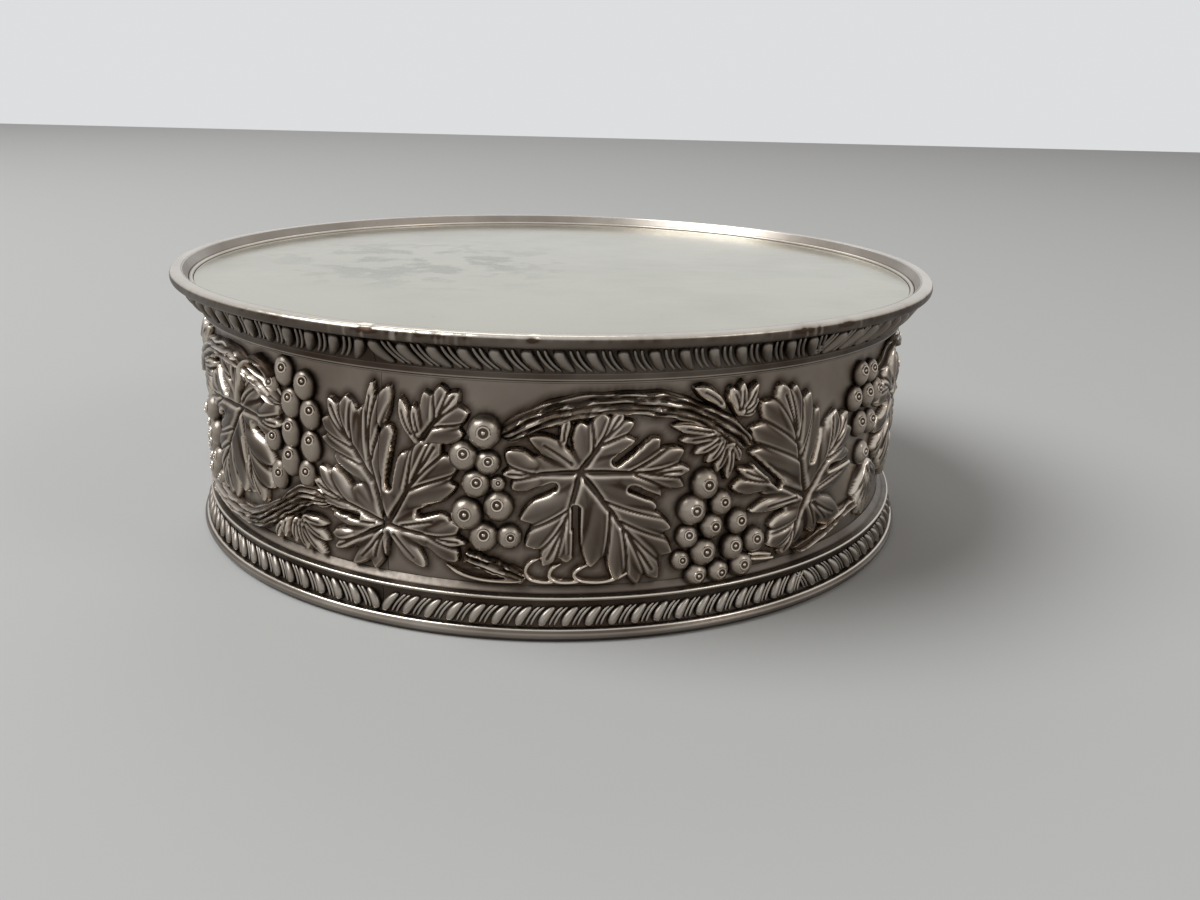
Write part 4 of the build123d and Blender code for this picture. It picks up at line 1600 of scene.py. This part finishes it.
# A grape is a ball of diameter 1 until it is placed. Its film is painted shade: light at the crown, growing
# darker towards the foot.
grapeShape = {
    "ball": {"Segments": 28, "Rings": 18, "Radius": 0.5},
    "paintedShade": (0.42, -0.04, 0.42),
    "hoopSteps": 18,
    "wireSteps": 6,
    "pupil": {"Vertices": 16, "Depth": 0.06},
    "dot": {"Segments": 10, "Rings": 6},
    "hoopFilm": 0.05,
    "pupilFilm": 0.95,
    "dotFilm": 0.0,
}


def addAttribute(tree, name, kind):
    node = addNode(tree, "GeometryNodeInputNamedAttribute", {"Name": name}, data_type=kind)
    return node.outputs["Attribute"]


def grapeTree(shape):
    tree = newTree("grapeBunches", "Spots", "Grapes")
    identifiers = addInputs(tree, "NodeSocketFloat", "Eye Size", "Eye Wire", "Dot Size")
    identifiers |= addInputs(tree, "NodeSocketMaterial", "Material")
    entry = addNode(tree, "NodeGroupInput").outputs
    ball = addNode(tree, "GeometryNodeMeshUVSphere", shape["ball"]).outputs["Mesh"]
    position = addNode(tree, "GeometryNodeInputPosition").outputs["Position"]
    height = addNode(tree, "ShaderNodeSeparateXYZ", {"Vector": position}).outputs["Z"]
    # Painted shade on each ball: light on top, darker towards its foot
    shaded = darken(tree, ball, addRange(tree, height, *shape["paintedShade"]))
    circle = addCircle(tree, shape["hoopSteps"], entry["Eye Size"])
    wire = addCircle(tree, shape["wireSteps"], entry["Eye Wire"])
    hoop = addNode(tree, "GeometryNodeCurveToMesh", {"Curve": circle, "Profile Curve": wire})
    pupil = addNode(tree, "GeometryNodeMeshCylinder", {**shape["pupil"], "Radius": entry["Eye Size"]})
    dot = addNode(tree, "GeometryNodeMeshUVSphere", {**shape["dot"], "Radius": entry["Dot Size"]})
    films = ((hoop, shape["hoopFilm"]), (pupil, shape["pupilFilm"]), (dot, shape["dotFilm"]))
    eye = joinParts(tree, [darken(tree, part.outputs["Mesh"], film) for part, film in films])
    isEye = addAttribute(tree, "isEye", "BOOLEAN")
    isBall = addNode(tree, "FunctionNodeBooleanMath", {0: isEye}, operation="NOT").outputs["Boolean"]
    placed = []
    for part, chosen in ((shaded, isBall), (eye, isEye)):
        inputs = {
            "Points": entry["Spots"],
            "Selection": chosen,
            "Instance": part,
            "Rotation": addAttribute(tree, "facing", "FLOAT_VECTOR"),
            "Scale": addAttribute(tree, "pieceSize", "FLOAT_VECTOR"),
        }
        placed.append(addNode(tree, "GeometryNodeInstanceOnPoints", inputs).outputs["Instances"])
    real = addNode(tree, "GeometryNodeRealizeInstances", {"Geometry": joinParts(tree, placed)})
    closeTree(tree, real.outputs["Geometry"], entry)
    return tree, identifiers


def makeGrapes(panel, settings, tree, identifiers):
    count = len(grapes)
    alongs, levels, diameters = np.array([(arcLength(turn), *rest[:2]) for turn, *rest in grapes]).T
    uneven = 1 + settings["uneven"] * chance.uniform(-1, 1, (count, 3))
    stretches = np.array([stretch for *berry, stretch in grapes])
    halves = diameters[:, None] / 2 * stretches * np.minimum(uneven, settings["largest"])
    variation = np.radians(settings["eyeVariation"]) * chance.uniform(-1, 1, (count, 2))
    tilts = math.radians(settings["eyeTilt"]) + variation[:, 0]
    swings = np.radians([eyeTurn for *berry, eyeTurn, stretch in grapes]) + variation[:, 1]
    azimuths = wallAzimuth(alongs, panel)
    # The eye sits where the dome's face looks along its axis
    flatShare = np.cos(tilts)
    axes = np.stack((np.sin(swings) * flatShare, np.sin(tilts), np.cos(swings) * flatShare), axis=1)
    offsets = halves**2 * axes / np.linalg.norm(halves * axes, axis=1)[:, None]
    offsets = offsets - settings["eyeSink"] * diameters[:, None] * axes
    balls = toWall(np.stack((alongs, levels, settings["lift"] * diameters), axis=1), panel)
    eyes = balls.copy()
    eyes[:, 0] += offsets[:, 2] * np.cos(azimuths) - offsets[:, 0] * np.sin(azimuths)
    eyes[:, 1] += offsets[:, 2] * np.sin(azimuths) + offsets[:, 0] * np.cos(azimuths)
    eyes[:, 2] += offsets[:, 1]
    quarter = math.pi / 2
    upright = np.full(count, quarter)
    level = np.zeros(count)
    ballTurns = np.stack((upright, level, azimuths + quarter), axis=1)
    eyeTurns = np.stack((upright - tilts, level, azimuths + quarter + swings), axis=1)
    eyeSizes = np.repeat(diameters[:, None], 3, axis=1)
    name = f"grapes{panel + 1}"
    mesh = bpy.data.meshes.new(name)
    mesh.from_pydata((np.vstack((balls, eyes)) * millimetre).tolist(), [], [])
    for label, values in (
        ("pieceSize", np.vstack((2 * halves, eyeSizes)) * millimetre),
        ("facing", np.vstack((ballTurns, eyeTurns))),
    ):
        layer = mesh.attributes.new(label, "FLOAT_VECTOR", "POINT")
        layer.data.foreach_set("vector", values.astype(np.float32).reshape(-1))
    layer = mesh.attributes.new("isEye", "BOOLEAN", "POINT")
    layer.data.foreach_set("value", np.arange(2 * count) >= count)
    piece = bpy.data.objects.new(name, mesh)
    scene.collection.objects.link(piece)
    values = {
        "Eye Size": settings["eyeSize"],
        "Eye Wire": settings["eyeWire"],
        "Dot Size": settings["dotSize"],
        "Material": grapeSilver,
    }
    bakeNodes(piece, tree, identifiers, values)
    finishPiece(piece, "relief_plate", f"wall_panel_{panel + 1}")


def grapeOutlines(steps=16):
    angles = np.linspace(0, 2 * math.pi, steps, endpoint=False)
    circle = np.stack((np.cos(angles), np.sin(angles)), axis=1)
    return [np.array((arcLength(turn), level)) + size / 2 * circle for turn, level, size, *rest in grapes]


# Ground of a panel: a thin bowed sheet with a faint ripple, with painted shade that darkens it close to the
# relief
ground = {
    "step": 0.6,
    "margin": 0.3,
    "endGap": 0.05,
    "thickness": 0.8,
    "sink": 0.06,
    "ripple": 0.06,
    "rippleAlong": 0.31,
    "rippleUp": 0.37,
    "rippleSlant": 0.05,
    "rippleBend": (0.23, 1.3),
    # The ground's film is tarnish laid deep enough to be a painted dark reflection too
    "film": 0.7,
    "backFilm": 0.4,
    "paintedShadeReach": 1.4,
}


def groundGrid(settings):
    gap, margin, step = settings["endGap"], settings["margin"], settings["step"]
    foot = coaster["wallFoot"] - coaster["bandFoot"]
    top = coaster["wallTop"] - coaster["bandFoot"]
    alongs = np.linspace(gap, panelLength - gap, int(panelLength / step))
    levels = np.concatenate(([foot], np.arange(-margin, bandHeight + margin, step), [top]))
    along, up = np.meshgrid(alongs, levels, indexing="ij")
    pace, bend = settings["rippleBend"]
    ripple = np.sin(along * settings["rippleAlong"] + np.sin(up * pace) * bend)
    ripple = ripple * np.sin(up * settings["rippleUp"] + along * settings["rippleSlant"])
    out = ripple * settings["ripple"] - settings["sink"]
    return np.stack((along, up, out), axis=2)


def groundPaintedShade(flat, outlines):
    tree = kdtree.KDTree(len(outlines))
    for i, (along, up) in enumerate(outlines):
        tree.insert((along, up, 0.0), i)
    tree.balance()
    # Painted shade: full dark at the relief's outlines, easing to the ground's film over the reach
    film = ground["film"]
    paintedShade = []
    for along, up, out in flat:
        distance = tree.find((along, up, 0.0))[2]
        paintedShade.append(max(film, 1.0 - (1.0 - film) * distance / ground["paintedShadeReach"]))
    return np.array(paintedShade)


def makeGround(panel, grid, paintedShade):
    flat = grid.reshape(-1, 3)
    sunk = flat.copy()
    sunk[:, 2] = -ground["thickness"]
    points = np.vstack((toWall(flat, panel), toWall(sunk, panel)))
    faces = closedShell(np.ones((grid.shape[0] - 1, grid.shape[1] - 1), bool)).tolist()
    tarnishAndPaintedShade = np.concatenate((paintedShade, np.full(len(flat), ground["backFilm"])))
    piece = addPiece(f"wallGround{panel + 1}", points, faces, tarnishAndPaintedShade, reliefSilver)
    finishPiece(piece, "relief_plate", f"wall_panel_{panel + 1}")


grapeNodes, grapeInputs = grapeTree(grapeShape)
leafRuns = {"Near": leafPlaces[:5], "Middle": leafPlaces[5:10], "Far": leafPlaces[10:]}
leafShapes = {name: makeLeaves(places, leafSettings) for name, places in leafRuns.items()}
stemRelief = StemRelief()
addStems(stemRelief)
leafAngle = smoothAngles["leaves"]
carvings = [(f"vineLeaves{name}", *shape[:3], leafAngle) for name, shape in leafShapes.items()]
carvings.append(("vineStems", *stemRelief.trimmed(), smoothAngles["stems"]))
outlines = [shape[3] for shape in leafShapes.values()] + stemRelief.outline + grapeOutlines()
grid = groundGrid(ground)
paintedShade = groundPaintedShade(grid.reshape(-1, 3), np.vstack(outlines))
for panel in range(coaster["panels"]):
    makeGround(panel, grid, paintedShade)
    for name, points, faces, tarnishAndPaintedShade, smoothAngle in carvings:
        bowed = toWall(points, panel)
        piece = addPiece(f"{name}{panel + 1}", bowed, faces, tarnishAndPaintedShade, reliefSilver, smoothAngle)
        finishPiece(piece, "relief_plate", f"wall_panel_{panel + 1}")
    makeGrapes(panel, grapeSettings, grapeNodes, grapeInputs)
print("vine relief made:", len(carvings), "carved pieces and", len(grapes), "grapes to a panel")
